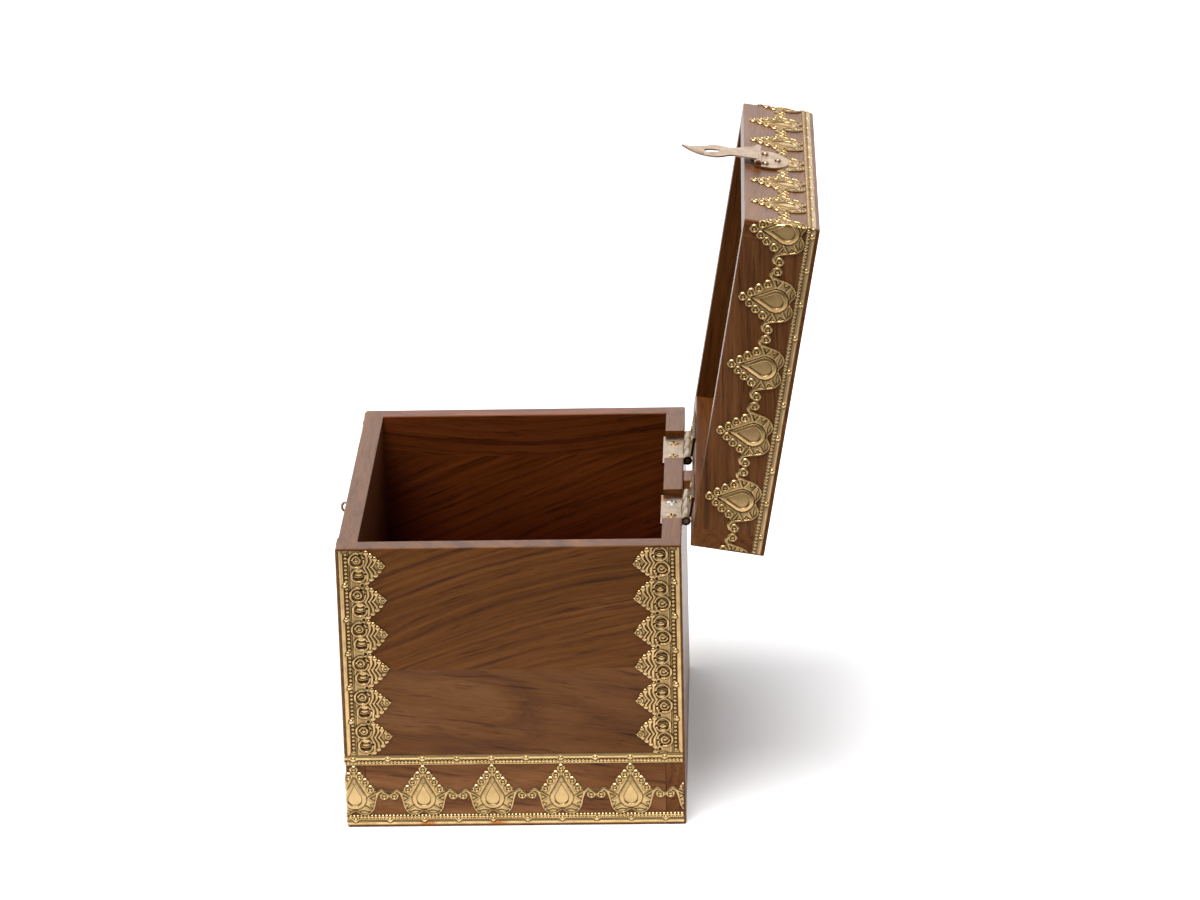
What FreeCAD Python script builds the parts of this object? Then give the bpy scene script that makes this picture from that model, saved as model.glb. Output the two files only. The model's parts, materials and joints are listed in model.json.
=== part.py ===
import FreeCAD, Part
import math
import os
from FreeCAD import Vector

# A wooden keepsake box with a hinged lid, embossed brass trim and a hasp.
# Millimetres. The origin is the middle of the underside, the front faces -Y and +Z is up.
# The lid is drawn shut on the box and then swung open on its hinges to where the stop block holds it.

# Carcass
box_width = 254.0
box_depth = 216.0
base_height = 191.0
lid_height = 46.5
board = 12.7
bottom_thickness = 9.0
lid_top_thickness = 7.0
corner_round = 1.2
rim_round = 0.9
open_angle = 99.7

# Butt hinges, their notches in the back board and their screws
hinge_length = 50.0
hinge_spread = 54.4
hinge_end_play = 0.4
notch_depth = 5.2
leaf_thickness = 1.4
leaf_overhang = 1.2
barrel_radius = 3.0
axis_behind = 2.5
hinge_pin_radius = 1.3
pin_running_gap = 0.05
knuckle_count = 3
knuckle_gap = 0.25
leaf_setback = 0.3
screw_end_margin = 13.5
screw_head_radius = 3.3
screw_dome_height = 0.9
screw_shank_radius = 1.6
screw_length = 15.0
screw_point = 3.0
recess_width = 1.0
recess_span = 3.6
recess_depth = 1.2

# Stop block on the back of the box
stop_length = 19.2
stop_reach = 22.0
stop_height = 30.0
stop_toe_height = 8.0
stop_below_rim = 1.5
stop_gap = 0.2

# Brads that pin the boards together, placed clear of the trim nails:
# the low corner brads as a share of the border's height, the bottom ones between the nails of the lower strip
brad_radius = 0.8
brad_length = 32.0
low_brad_share = 0.7
bottom_brad_spacing_shares = (1.5, 4.5, 8.5, 12.5)
lid_brad_height_shares = (0.3, 0.62)

# Brass sheet trim: strips with a row of drop motifs, and a plain border above the lower row.
# The shares of a motif are of its pitch along the strip and of its height.
sheet = 0.5
trim_end_margin = 1.5
motif_pitch = 44.0
base_motif_height = 34.9
lid_motif_rim_gap = 4.0
motif_overlap = 0.3
motif_ring_overlap = 0.03
motif_ring_shares = ((0, 0.916), (0.077, 0.795), (0.157, 0.666), (0.232, 0.53))
motif_body_shares = ((0, 0.058), (0.073, 0.014), (0.177, 0), (0.268, 0.081), (0.318, 0.26), (0.339, 0.484),
                     (0.23, 0.516), (0, 0.778))
motif_arm_shares = ((0.309, 0.357), (0.339, 0.484), (0.391, 0.501), (0.445, 0.45), (0.418, 0.375))
motif_link_shares = (0.445, 0.386)
motif_link_overlap = 0.2
plinth_strip_low = 1.4
plinth_strip_width = 7.0
border_gap = 0.2
border_width = 6.8
lid_strip_from_top = 2.3
lid_strip_width = 5.8

# Corner lace: an edging with a row of leaves pointing to the middle of the panel.
# The shares of a leaf are of its reach from the outer edge and of its pitch.
lace_margin = 1.0
lace_edging = 8.6
lace_reach = 30.3
lace_leaf_pitch = 23.4
lace_gap = 0.2
lace_rim_gap = 1.1
leaf_body_shares = ((0.27, 0.5), (0.575, 0.5), (0.63, 0.45), (0.73, 0.35), (0.83, 0.25), (0.92, 0.14),
                    (0.97, 0))
leaf_tip_radius = 2.6

# Trim nails, with their places across the strips
nail_head_radius = 1.45
nail_head_height = 0.9
nail_shank_radius = 0.55
nail_length = 9.0
plinth_nail_share = 0.47
border_nail_share = 0.56
lid_nail_share = 0.7
lace_nail_share = 0.44

# Hasp on the lid and staple on the box.
# The shares of the nails are of the plate's half width and its length, those of the strap of its own.
hasp_axis_height = 8.5
hasp_barrel_radius = 2.3
hasp_axis_out = 3.0
hasp_pin_radius = 1.0
hasp_plate_thickness = 1.2
hasp_plate_length = 20.0
hasp_plate_straight = 9.0
hasp_plate_gap = 0.4
hasp_knuckle_width = 4.0
hasp_root_width = 26.0
hasp_nail_shares = ((-0.58, 0.25), (0.58, 0.25), (0, 0.65))
hasp_nail_head_radius = 2.3
hasp_nail_head_height = 1.9
hasp_nail_shank_radius = 0.8
strap_thickness = 1.0
strap_width = 24.6
strap_length = 48.5
strap_outline_shares = ((0.99, 0.09), (0.83, 0.2), (0.62, 0.335), (0.83, 0.445), (1, 0.55), (0.85, 0.68),
                        (0.52, 0.825), (0.28, 0.91), (0.065, 1))
strap_curl_start = 34.0
strap_curl_radius = 34.0
strap_curl_angle = 26.0
strap_droop = 6.2
slot_from_axis = 29.2
slot_length = 9.8
slot_width = 6.0
staple_wire_radius = 0.9
staple_outer_height = 8.4
staple_reach = 8.0
staple_leg = 10.0

half_width = box_width / 2
half_depth = box_depth / 2
front_y = -half_depth
rim_z = base_height
lid_top_z = base_height + lid_height
hinge_y = half_depth + axis_behind
hinge_z = rim_z - notch_depth / 2
hasp_y = front_y - hasp_axis_out
hasp_z = rim_z + hasp_axis_height
motif_root = plinth_strip_low + plinth_strip_width - motif_overlap
border_low = motif_root + base_motif_height + border_gap
lid_strip_low = lid_top_z - lid_strip_from_top - lid_strip_width
lid_motif_root = lid_strip_low + motif_overlap
lid_motif_height = lid_motif_root - rim_z - lid_motif_rim_gap
nail_spacing = motif_pitch / 2
lace_low = border_low + border_width + lace_gap
lace_run = rim_z - lace_rim_gap - lace_low
leaf_count = round(lace_run / lace_leaf_pitch)
leaf_pitch = lace_run / leaf_count
big = box_width + box_depth + base_height
edge_tolerance = 1e-6

x_dir = Vector(1, 0, 0)
y_dir = Vector(0, 1, 0)
z_dir = Vector(0, 0, 1)


def face_frame(across, outward, origin):
    # Placement whose X runs across a face, whose Y runs up it and whose Z stands out of it
    return FreeCAD.Placement(FreeCAD.Matrix(across.x, 0, outward.x, origin.x,
                                            across.y, 0, outward.y, origin.y,
                                            0, 1, 0, 0,
                                            0, 0, 0, 1))


front_frame = face_frame(x_dir, y_dir * -1, Vector(0, front_y, 0))
right_frame = face_frame(y_dir, x_dir, Vector(half_width, front_y - half_width, 0))
left_frame = face_frame(y_dir * -1, x_dir * -1, Vector(-half_width, front_y - half_width, 0))


def slab(x0, x1, y0, y1, z0, z1):
    return Part.makeBox(x1 - x0, y1 - y0, z1 - z0, Vector(x0, y0, z0))


def rod(radius, start, direction, length):
    return Part.makeCylinder(radius, length, start, direction)


def joined(shapes):
    if len(shapes) == 1:
        return shapes[0]
    return shapes[0].multiFuse(shapes[1:]).removeSplitter()


def group(shapes):
    return Part.makeCompound(shapes)


def without(shape, tools):
    return shape.cut(group(tools))


def edges_at_height(shape, z):
    return [e for e in shape.Edges
            if abs(e.BoundBox.ZMin - z) < edge_tolerance and abs(e.BoundBox.ZMax - z) < edge_tolerance]


def upright_edges(shape):
    return [e for e in shape.Edges if max(e.BoundBox.XLength, e.BoundBox.YLength) < edge_tolerance]


def shell(z0, z1, cavity0, cavity1, far_end_round):
    # Rounded block hollowed from the rim, with the rim eased inside and out
    block = slab(-half_width, half_width, -half_depth, half_depth, z0, z1)
    block = block.makeFillet(corner_round, upright_edges(block))
    block = block.makeFillet(rim_round, edges_at_height(block, rim_z))
    if far_end_round:
        block = block.makeFillet(rim_round, edges_at_height(block, z1))
    inner_x = half_width - board
    inner_y = half_depth - board
    block = block.cut(slab(-inner_x, inner_x, -inner_y, inner_y, cavity0, cavity1))
    inner = [e for e in edges_at_height(block, rim_z)
             if max(abs(e.BoundBox.XMin), abs(e.BoundBox.XMax)) < half_width - board / 2
             and max(abs(e.BoundBox.YMin), abs(e.BoundBox.YMax)) < half_depth - board / 2]
    return block.makeFillet(rim_round, inner)


def boards(body):
    # Front and back run the full width, the sides fit between them
    inner_x = half_width - board
    inner_y = half_depth - board
    front = body.common(slab(-big, big, -big, -inner_y, -big, big))
    back = body.common(slab(-big, big, inner_y, big, -big, big))
    left = body.common(slab(-big, -inner_x, -inner_y, inner_y, -big, big))
    right = body.common(slab(inner_x, big, -inner_y, inner_y, -big, big))
    return front, back, left, right


def turned(profile_points, start, direction):
    # Solid of revolution from (radius, distance along the axis) points
    ring = [Vector(r, 0, h) for r, h in profile_points]
    wire = Part.makePolygon(ring + [ring[0]])
    solid = Part.Face(wire).revolve(Vector(0, 0, 0), z_dir, 360)
    solid.Placement = FreeCAD.Placement(start, FreeCAD.Rotation(z_dir, direction))
    return solid


def dome(radius, height):
    # Profile of a domed head, from its crown to the edge that meets the surface
    steps = 5
    points = []
    for i in range(steps + 1):
        a = math.pi / 2 * i / steps
        points.append((radius * math.sin(a), -height * math.cos(a)))
    return points


def domed_nail(place, inward, head_radius, head_height, shank_radius, length):
    # Domed head standing on the surface at place, shank driven along inward
    profile = dome(head_radius, head_height)
    profile += [(shank_radius, 0), (shank_radius, length - shank_radius * 2), (0, length)]
    return turned(profile, place, inward)


def trim_nail(place, inward):
    return domed_nail(place, inward, nail_head_radius, nail_head_height, nail_shank_radius, nail_length)


def wood_screw(place, inward):
    # Raised countersunk screw, its edge level with place, whole and with its cross recess
    cone = screw_head_radius - screw_shank_radius
    profile = dome(screw_head_radius, screw_dome_height)
    profile += [(screw_shank_radius, cone), (screw_shank_radius, screw_length - screw_point)]
    profile.append((0, screw_length))
    body = turned(profile, place, inward)
    crown = place - inward * screw_dome_height
    recess = []
    for along in (recess_span, recess_width):
        across = recess_span + recess_width - along
        recess.append(slab(place.x - along / 2, place.x + along / 2,
                           place.y - across / 2, place.y + across / 2,
                           crown.z - recess_depth, crown.z + recess_depth))
    return body, body.cut(joined(recess))


def hinge_leaf(centre_x, own, upper):
    # Flat leaf with every second knuckle; the upper leaf belongs to the lid
    x0 = centre_x - hinge_length / 2
    pitch = hinge_length / knuckle_count
    low = rim_z - leaf_thickness if upper else rim_z - notch_depth
    leaf_end = hinge_y - barrel_radius - leaf_setback
    leaf_start = half_depth - board - leaf_overhang
    parts = [slab(x0, x0 + hinge_length, leaf_start, leaf_end, low, low + leaf_thickness)]
    for i in own:
        k0 = x0 + i * pitch + (knuckle_gap / 2 if i > 0 else 0)
        k1 = x0 + (i + 1) * pitch - (knuckle_gap / 2 if i < knuckle_count - 1 else 0)
        parts.append(slab(k0, k1, leaf_end - leaf_setback, hinge_y, low, low + leaf_thickness))
        parts.append(rod(barrel_radius, Vector(k0, hinge_y, hinge_z), x_dir, k1 - k0))
    bore = hinge_pin_radius + (pin_running_gap if upper else 0)
    return joined(parts).cut(rod(bore, Vector(x0 - board, hinge_y, hinge_z), x_dir, hinge_length + 2 * board))


def mirrored(points):
    # Close a right-hand outline, given upwards along one side, with its mirror image
    return [Vector(u, v, 0) for u, v in points] + [Vector(-u, v, 0) for u, v in reversed(points) if u > 0]


def plate_of(points):
    return Part.Face(Part.makePolygon(points + [points[0]])).extrude(z_dir * sheet)


def motif(height):
    # Drop ornament: heart-shaped body, a chain of rings up to the tip, and a scroll ring each side
    body = [(u * motif_pitch, v * height) for u, v in motif_body_shares]
    arm = [(u * motif_pitch, v * height) for u, v in motif_arm_shares]
    rings = [Vector(u * motif_pitch, v * height, 0) for u, v in motif_ring_shares]
    widest_step = max(a.distanceToPoint(b) for a, b in zip(rings, rings[1:]))
    ring_radius = widest_step / 2 + motif_ring_overlap
    link_u = motif_link_shares[0] * motif_pitch
    link_v = motif_link_shares[1] * height
    link_radius = motif_pitch / 2 - link_u + motif_link_overlap
    parts = [plate_of(mirrored(body)), rod(ring_radius, rings[0], z_dir, sheet)]
    for side in (-1, 1):
        parts.append(plate_of([Vector(side * u, v, 0) for u, v in arm]))
        parts += [rod(ring_radius, Vector(side * p.x, p.y, 0), z_dir, sheet) for p in rings[1:]]
        parts.append(rod(link_radius, Vector(side * link_u, link_v, 0), z_dir, sheet))
    return joined(parts)


def strip_pieces(low, width, s0, s1):
    return [Part.makeBox(s1 - s0, width, sheet, Vector(s0, low, 0))]


def motif_row(root, height, downwards, s0, s1):
    one = motif(height)
    if downwards:
        one.rotate(Vector(0, 0, 0), z_dir, 180)
    row = []
    for k in range(math.floor(s0 / motif_pitch) - 1, math.ceil(s1 / motif_pitch) + 2):
        piece = one.copy()
        piece.translate(Vector(k * motif_pitch, root, 0))
        row.append(piece)
    return row


def folded(low, high, side):
    # Quarter bend of the sheet round a front corner
    centre_x = side * (half_width - corner_round)
    centre_y = front_y + corner_round
    ring = Part.makeCylinder(corner_round + sheet, high - low, Vector(centre_x, centre_y, low))
    ring = ring.cut(Part.makeCylinder(corner_round, high - low, Vector(centre_x, centre_y, low)))
    x0, x1 = sorted((centre_x, side * big))
    return ring.common(slab(x0, x1, -big, centre_y, low, high))


def wrapped(pieces_between):
    # Lay a flat strip on the left, front and right faces, up to the rounding of the two front corners
    flat_half = half_width - corner_round
    side_start = half_width + corner_round
    side_end = half_width + box_depth - trim_end_margin
    faces = []
    for frame, s0, s1 in ((front_frame, -flat_half, flat_half), (right_frame, side_start, side_end),
                          (left_frame, -side_end, -side_start)):
        window = Part.makeBox(s1 - s0, big, sheet, Vector(s0, 0, 0))
        face = joined(pieces_between(s0, s1)).common(window)
        face.Placement = frame.multiply(face.Placement)
        faces.append(face)
    return faces


def corner_spans(pieces_between):
    # Heights at which the flat strip crosses the corner line
    thin = sheet / 10
    cut = joined(pieces_between(half_width - thin, half_width + thin))
    cut = cut.common(Part.makeBox(thin, big, sheet, Vector(half_width, 0, 0)))
    return [(s.BoundBox.YMin, s.BoundBox.YMax) for s in cut.Solids]


def wrapped_band(pieces_between):
    parts = wrapped(pieces_between)
    for low, high in corner_spans(pieces_between):
        parts += [folded(low, high, side) for side in (-1, 1)]
    return joined(parts)


def face_places(spacing, height):
    # Nail places on the three trimmed faces, evenly spaced but off the bends, with their inward directions
    places = []
    count = math.floor((half_width + box_depth - trim_end_margin - nail_head_radius) / spacing)
    bend = corner_round + nail_head_radius
    for j in range(-count, count + 1):
        side = 1 if j > 0 else -1
        beyond = abs(j) * spacing - half_width
        if abs(beyond) < bend:
            beyond = bend if beyond > 0 else -bend
        if beyond < 0:
            places.append((Vector(side * (half_width + beyond), front_y - sheet, height), y_dir))
        else:
            places.append((Vector(side * (half_width + sheet), front_y + beyond, height), x_dir * -side))
    return places


def leaf_middle(i):
    return lace_low + (i + 1 / 2) * leaf_pitch


def lace(mirrored_run):
    # Edging with leaves, flat: across the strip along +X from its outer edge, up along +Y
    parts = [Part.makeBox(lace_edging, lace_run, sheet, Vector(0, lace_low, 0))]
    half = [(a * lace_reach, share * leaf_pitch) for a, share in leaf_body_shares]
    for i in range(leaf_count):
        middle = leaf_middle(i)
        upper = [Vector(a, middle + rise, 0) for a, rise in half]
        lower = [Vector(a, middle - rise, 0) for a, rise in reversed(half) if rise > 0]
        parts.append(plate_of(upper + lower))
        parts.append(rod(leaf_tip_radius, Vector(lace_reach - leaf_tip_radius, middle, 0), z_dir, sheet))
    shape = joined(parts)
    if mirrored_run:
        shape = shape.mirror(Vector(0, 0, 0), x_dir)
    return shape


def opened(shape):
    return shape.rotated(Vector(0, hinge_y, hinge_z), x_dir * -1, open_angle)


# Boards of the box and of the lid
base_shell = shell(0, base_height, 0, base_height, False)
front_panel, back_panel, left_panel, right_panel = boards(base_shell)
bottom_panel = slab(board - half_width, half_width - board, board - half_depth, half_depth - board,
                    0, bottom_thickness)
rail_top = lid_top_z - lid_top_thickness
lid_shell = shell(rim_z, lid_top_z, rim_z, rail_top, True)
lid_top_panel = lid_shell.common(slab(-big, big, -big, big, rail_top, big))
rails = lid_shell.common(slab(-big, big, -big, big, 0, rail_top))
lid_front_rail, lid_back_rail, lid_left_rail, lid_right_rail = boards(rails)

# Hinges
notches = []
hinges = {}
hinge_pins = {}
base_screws = []
base_screw_holes = []
lid_screws = []
lid_screw_holes = []
screw_y = half_depth - board / 2 - leaf_overhang / 2
screw_spread = hinge_length / 2 - screw_end_margin
for side, name in ((-1, "left"), (1, "right")):
    middle = side * hinge_spread
    reach = hinge_length / 2 + hinge_end_play
    notches.append(slab(middle - reach, middle + reach, 0, big, rim_z - notch_depth, big))
    base_leaf = hinge_leaf(middle, range(0, knuckle_count, 2), False)
    lid_leaf = hinge_leaf(middle, range(1, knuckle_count, 2), True)
    hinges[name] = (base_leaf, lid_leaf)
    pin_start = Vector(middle - hinge_length / 2, hinge_y, hinge_z)
    hinge_pins[name] = rod(hinge_pin_radius, pin_start, x_dir, hinge_length)
    for offset in (-screw_spread, screw_spread):
        seat = Vector(middle + offset, screw_y, rim_z - notch_depth + leaf_thickness)
        solid, screw = wood_screw(seat, z_dir * -1)
        base_screw_holes.append(solid)
        base_screws.append(screw)
        seat = Vector(middle + offset, screw_y, rim_z - leaf_thickness)
        solid, screw = wood_screw(seat, z_dir)
        lid_screw_holes.append(solid)
        lid_screws.append(screw)
back_panel = without(back_panel, notches + base_screw_holes)
lid_back_rail = without(lid_back_rail, lid_screw_holes)

# Stop block, its top bevelled to the slope of the open lid's back
slope = math.tan(math.radians(open_angle - 90))
lid_back_at_board = hinge_z + axis_behind * (1 / math.cos(math.radians(open_angle - 90)) + slope)
stop_top = rim_z - stop_below_rim
bevel_start = (lid_back_at_board - stop_gap - stop_top) / slope
stop_end = half_depth + stop_reach
stop_profile = [Vector(0, half_depth, stop_top), Vector(0, half_depth + bevel_start, stop_top),
                Vector(0, stop_end, lid_back_at_board - stop_gap - stop_reach * slope),
                Vector(0, stop_end, stop_top - stop_toe_height - stop_reach * slope),
                Vector(0, half_depth, stop_top - stop_height)]
lid_stop_block = Part.Face(Part.makePolygon(stop_profile + [stop_profile[0]])).extrude(x_dir * stop_length)
lid_stop_block.translate(Vector(-stop_length / 2, 0, 0))

# Brads through the front and back boards into the sides and the bottom
base_corner_brads = []
bottom_brads = []
lid_corner_brads = []
brad_x = half_width - board / 2
for end in (-1, 1):
    inward = y_dir * -end
    for side in (-1, 1):
        for height in (low_brad_share * border_low, leaf_middle(1), leaf_middle(leaf_count - 2)):
            place = Vector(side * brad_x, end * half_depth, height)
            base_corner_brads.append(rod(brad_radius, place, inward, brad_length))
        for share in lid_brad_height_shares:
            place = Vector(side * brad_x, end * half_depth, rim_z + share * lid_height)
            lid_corner_brads.append(rod(brad_radius, place, inward, brad_length))
        for share in bottom_brad_spacing_shares:
            s = share * nail_spacing
            if s < half_width:
                place = Vector(side * s, end * half_depth, bottom_thickness / 2)
                bottom_brads.append(rod(brad_radius, place, inward, brad_length))
for side in (-1, 1):
    for share in bottom_brad_spacing_shares:
        s = share * nail_spacing
        if s > half_width:
            place = Vector(side * half_width, front_y + s - half_width, bottom_thickness / 2)
            bottom_brads.append(rod(brad_radius, place, x_dir * -side, brad_length))


# Brass bands round the left, front and right faces
def base_band_pieces(s0, s1):
    strip = strip_pieces(plinth_strip_low, plinth_strip_width, s0, s1)
    return strip + motif_row(motif_root, base_motif_height, False, s0, s1)


def border_pieces(s0, s1):
    return strip_pieces(border_low, border_width, s0, s1)


def lid_band_pieces(s0, s1):
    strip = strip_pieces(lid_strip_low, lid_strip_width, s0, s1)
    return strip + motif_row(lid_motif_root, lid_motif_height, True, s0, s1)


def band_nails(strip_low, strip_width, share):
    return [trim_nail(p, d) for p, d in face_places(nail_spacing, strip_low + share * strip_width)]


base_motif_band = wrapped_band(base_band_pieces)
base_border_strip = wrapped_band(border_pieces)
lid_motif_band = wrapped_band(lid_band_pieces)
base_band_nails = band_nails(plinth_strip_low, plinth_strip_width, plinth_nail_share)
base_border_nails = band_nails(border_low, border_width, border_nail_share)
lid_band_nails = band_nails(lid_strip_low, lid_strip_width, lid_nail_share)

# Corner lace on the sides and the front
laces = {}
lace_nails = []
side_far = half_width + box_depth - lace_margin
side_near = half_width + lace_margin
front_edge = half_width - lace_margin
lace_places = (("right_front_lace", right_frame, side_near, False),
               ("right_back_lace", right_frame, side_far, True),
               ("left_front_lace", left_frame, -side_near, True),
               ("left_back_lace", left_frame, -side_far, False),
               ("front_left_lace", front_frame, -front_edge, False),
               ("front_right_lace", front_frame, front_edge, True))
for name, frame, start, turn_back in lace_places:
    flat = lace(turn_back)
    inset = lace_nail_share * lace_edging * (-1 if turn_back else 1)
    flat.translate(x_dir * start)
    flat.Placement = frame.multiply(flat.Placement)
    nails = []
    for i in range(1, leaf_count):
        seat = frame.multVec(Vector(start + inset, lace_low + i * leaf_pitch, sheet))
        inward = frame.Rotation.multVec(z_dir * -1)
        nails.append(trim_nail(seat, inward))
    laces[name] = without(flat, nails)
    lace_nails += nails

# Hasp: plate and knuckles on the lid, strap hinged to it
hasp_half = hasp_root_width / 2
knuckle_start = hasp_half + knuckle_gap
hasp_half_width = knuckle_start + hasp_knuckle_width
plate_back = front_y - sheet
plate_front = plate_back - hasp_plate_thickness
plate_low = hasp_z + hasp_barrel_radius + hasp_plate_gap
plate_shoulder = hasp_z + hasp_plate_straight
plate_end = hasp_z + hasp_plate_length
plate_corners = [Vector(side * hasp_half_width, plate_front, z) for side, z in
                 ((-1, plate_shoulder), (-1, plate_low), (1, plate_low), (1, plate_shoulder))]
plate_edges = [Part.makeLine(a, b) for a, b in zip(plate_corners, plate_corners[1:])]
plate_edges.append(Part.Arc(plate_corners[3], Vector(0, plate_front, plate_end), plate_corners[0]).toShape())
plate_parts = [Part.Face(Part.Wire(plate_edges)).extrude(y_dir * hasp_plate_thickness)]
for side in (-1, 1):
    x0, x1 = sorted((side * knuckle_start, side * hasp_half_width))
    plate_parts.append(slab(x0, x1, plate_front, plate_back, hasp_z, plate_low))
    plate_parts.append(rod(hasp_barrel_radius, Vector(x0, hasp_y, hasp_z), x_dir, x1 - x0))
hasp_plate = joined(plate_parts)
hasp_plate = hasp_plate.cut(rod(hasp_pin_radius, Vector(-big, hasp_y, hasp_z), x_dir, 2 * big))
hasp_pin = rod(hasp_pin_radius, Vector(-hasp_half_width, hasp_y, hasp_z), x_dir, 2 * hasp_half_width)
hasp_nails = []
for across, up in hasp_nail_shares:
    place = Vector(across * hasp_half_width, plate_front, hasp_z + up * hasp_plate_length)
    hasp_nails.append(domed_nail(place, y_dir, hasp_nail_head_radius, hasp_nail_head_height,
                                 hasp_nail_shank_radius, nail_length))

# Strap seen from the side: straight, then curling outwards to the tip
outer_y = hasp_y - hasp_barrel_radius
inner_y = outer_y + strap_thickness
curl_z = hasp_z - strap_curl_start
curl_centre = Vector(0, outer_y - strap_curl_radius, curl_z)


def curl_arc(radius, start_share, end_share):
    points = []
    for share in (start_share, (start_share + end_share) / 2, end_share):
        a = math.radians(strap_curl_angle) * share
        points.append(curl_centre + Vector(0, radius * math.cos(a), -radius * math.sin(a)))
    return Part.Arc(*points).toShape()


outer_arc = curl_arc(strap_curl_radius, 0, 1)
inner_arc = curl_arc(strap_curl_radius + strap_thickness, 1, 0)
side_view = [Part.makeLine(Vector(0, outer_y, hasp_z), Vector(0, outer_y, curl_z)), outer_arc,
             Part.makeLine(outer_arc.lastVertex().Point, inner_arc.firstVertex().Point), inner_arc,
             Part.makeLine(Vector(0, inner_y, curl_z), Vector(0, inner_y, hasp_z)),
             Part.makeLine(Vector(0, inner_y, hasp_z), Vector(0, outer_y, hasp_z))]
strap_side = Part.Face(Part.Wire(side_view)).extrude(x_dir * box_width)
strap_side.translate(x_dir * -half_width)

# Strap seen from the front: a waist, a leaf round the slot and a drawn-out tip
outline_points = [(hasp_half, 0)]
outline_points += [(across * strap_width / 2, down * strap_length) for across, down in strap_outline_shares]
right_run = [Vector(x, front_y, hasp_z - down) for x, down in outline_points]
left_run = [Vector(-x, front_y, hasp_z - down) for x, down in reversed(outline_points)]
right_curve = Part.BSplineCurve()
right_curve.interpolate(right_run)
left_curve = Part.BSplineCurve()
left_curve.interpolate(left_run)
outline = Part.Wire([right_curve.toShape(), Part.makeLine(right_run[-1], left_run[0]), left_curve.toShape(),
                     Part.makeLine(left_run[-1], right_run[0])])
strap_front = Part.Face(outline).extrude(y_dir * -big)
slot_round = slot_width / 2
slot_z = hasp_z - slot_from_axis
slot_half = slot_length / 2 - slot_round
slot_ends = [rod(slot_round, Vector(0, 0, slot_z + end * slot_half), y_dir * -1, big) for end in (-1, 1)]
slot = joined(slot_ends + [slab(-slot_round, slot_round, -big, 0, slot_z - slot_half, slot_z + slot_half)])
strap_barrel = rod(hasp_barrel_radius, Vector(-hasp_half, hasp_y, hasp_z), x_dir, hasp_root_width)
hasp_strap = joined([strap_side.common(strap_front).cut(slot), strap_barrel])
strap_bore = hasp_pin_radius + pin_running_gap
hasp_strap = hasp_strap.cut(rod(strap_bore, Vector(-big, hasp_y, hasp_z), x_dir, 2 * big))
hasp_strap = hasp_strap.rotated(Vector(0, hasp_y, hasp_z), x_dir, strap_droop)

# Staple: a bent wire loop standing out of the front board
loop_radius = staple_outer_height / 2 - staple_wire_radius
bend_y = front_y - staple_reach + staple_wire_radius + loop_radius
leg_length = front_y + staple_leg - bend_y
bend = Part.makeTorus(loop_radius, staple_wire_radius, Vector(0, bend_y, slot_z), x_dir)
bend = bend.common(slab(-big, big, -big, bend_y, -big, big))
legs = []
for end in (-1, 1):
    leg_start = Vector(0, bend_y, slot_z + end * loop_radius)
    legs.append(rod(staple_wire_radius, leg_start, y_dir, leg_length))
hasp_staple = joined([bend] + legs)

# Holes for every pin, nail and staple leg
lid_front_rail = without(lid_front_rail, lid_corner_brads + hasp_nails)
lid_back_rail = without(lid_back_rail, lid_corner_brads)
lid_left_rail = without(lid_left_rail, lid_corner_brads)
lid_right_rail = without(lid_right_rail, lid_corner_brads)
lid_top_panel = without(lid_top_panel, lid_band_nails)
lid_motif_band = without(lid_motif_band, lid_band_nails + hasp_nails)
hasp_plate = without(hasp_plate, hasp_nails)
base_motif_band = without(base_motif_band, base_band_nails)
base_border_strip = without(base_border_strip, base_border_nails)
side_fixings = base_corner_brads + bottom_brads + base_band_nails + base_border_nails + lace_nails
front_panel = without(front_panel, side_fixings + [hasp_staple])
back_panel = without(back_panel, side_fixings)
left_panel = without(left_panel, side_fixings)
right_panel = without(right_panel, side_fixings)
bottom_panel = without(bottom_panel, bottom_brads)

nodes = {
    "front_panel": front_panel,
    "back_panel": back_panel,
    "left_panel": left_panel,
    "right_panel": right_panel,
    "bottom_panel": bottom_panel,
    "base_corner_brads": group(base_corner_brads),
    "bottom_brads": group(bottom_brads),
    "lid_stop_block": lid_stop_block,
    "left_hinge_base_leaf": without(hinges["left"][0], base_screw_holes),
    "right_hinge_base_leaf": without(hinges["right"][0], base_screw_holes),
    "left_hinge_pin": hinge_pins["left"],
    "right_hinge_pin": hinge_pins["right"],
    "base_hinge_screws": group(base_screws),
    "hasp_staple": hasp_staple,
    "base_motif_band": base_motif_band,
    "base_band_nails": group(base_band_nails),
    "base_border_strip": base_border_strip,
    "base_border_nails": group(base_border_nails),
    "lace_nails": group(lace_nails),
    "lid_top_panel": opened(lid_top_panel),
    "lid_front_rail": opened(lid_front_rail),
    "lid_back_rail": opened(lid_back_rail),
    "lid_left_rail": opened(lid_left_rail),
    "lid_right_rail": opened(lid_right_rail),
    "lid_corner_brads": opened(group(lid_corner_brads)),
    "left_hinge_lid_leaf": opened(without(hinges["left"][1], lid_screw_holes)),
    "right_hinge_lid_leaf": opened(without(hinges["right"][1], lid_screw_holes)),
    "lid_hinge_screws": opened(group(lid_screws)),
    "lid_motif_band": opened(lid_motif_band),
    "lid_band_nails": opened(group(lid_band_nails)),
    "hasp_plate": opened(hasp_plate),
    "hasp_pin": opened(hasp_pin),
    "hasp_nails": opened(group(hasp_nails)),
    "hasp_strap": opened(hasp_strap),
}
nodes.update(laces)

os.makedirs("parts", exist_ok=True)
for name, shape in nodes.items():
    shape.exportStep("parts/" + name + ".step")
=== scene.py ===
import json
import math

import bmesh
import bpy
import numpy as np
from mathutils import Euler, Matrix, Vector
from mathutils.geometry import delaunay_2d_cdt


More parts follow.
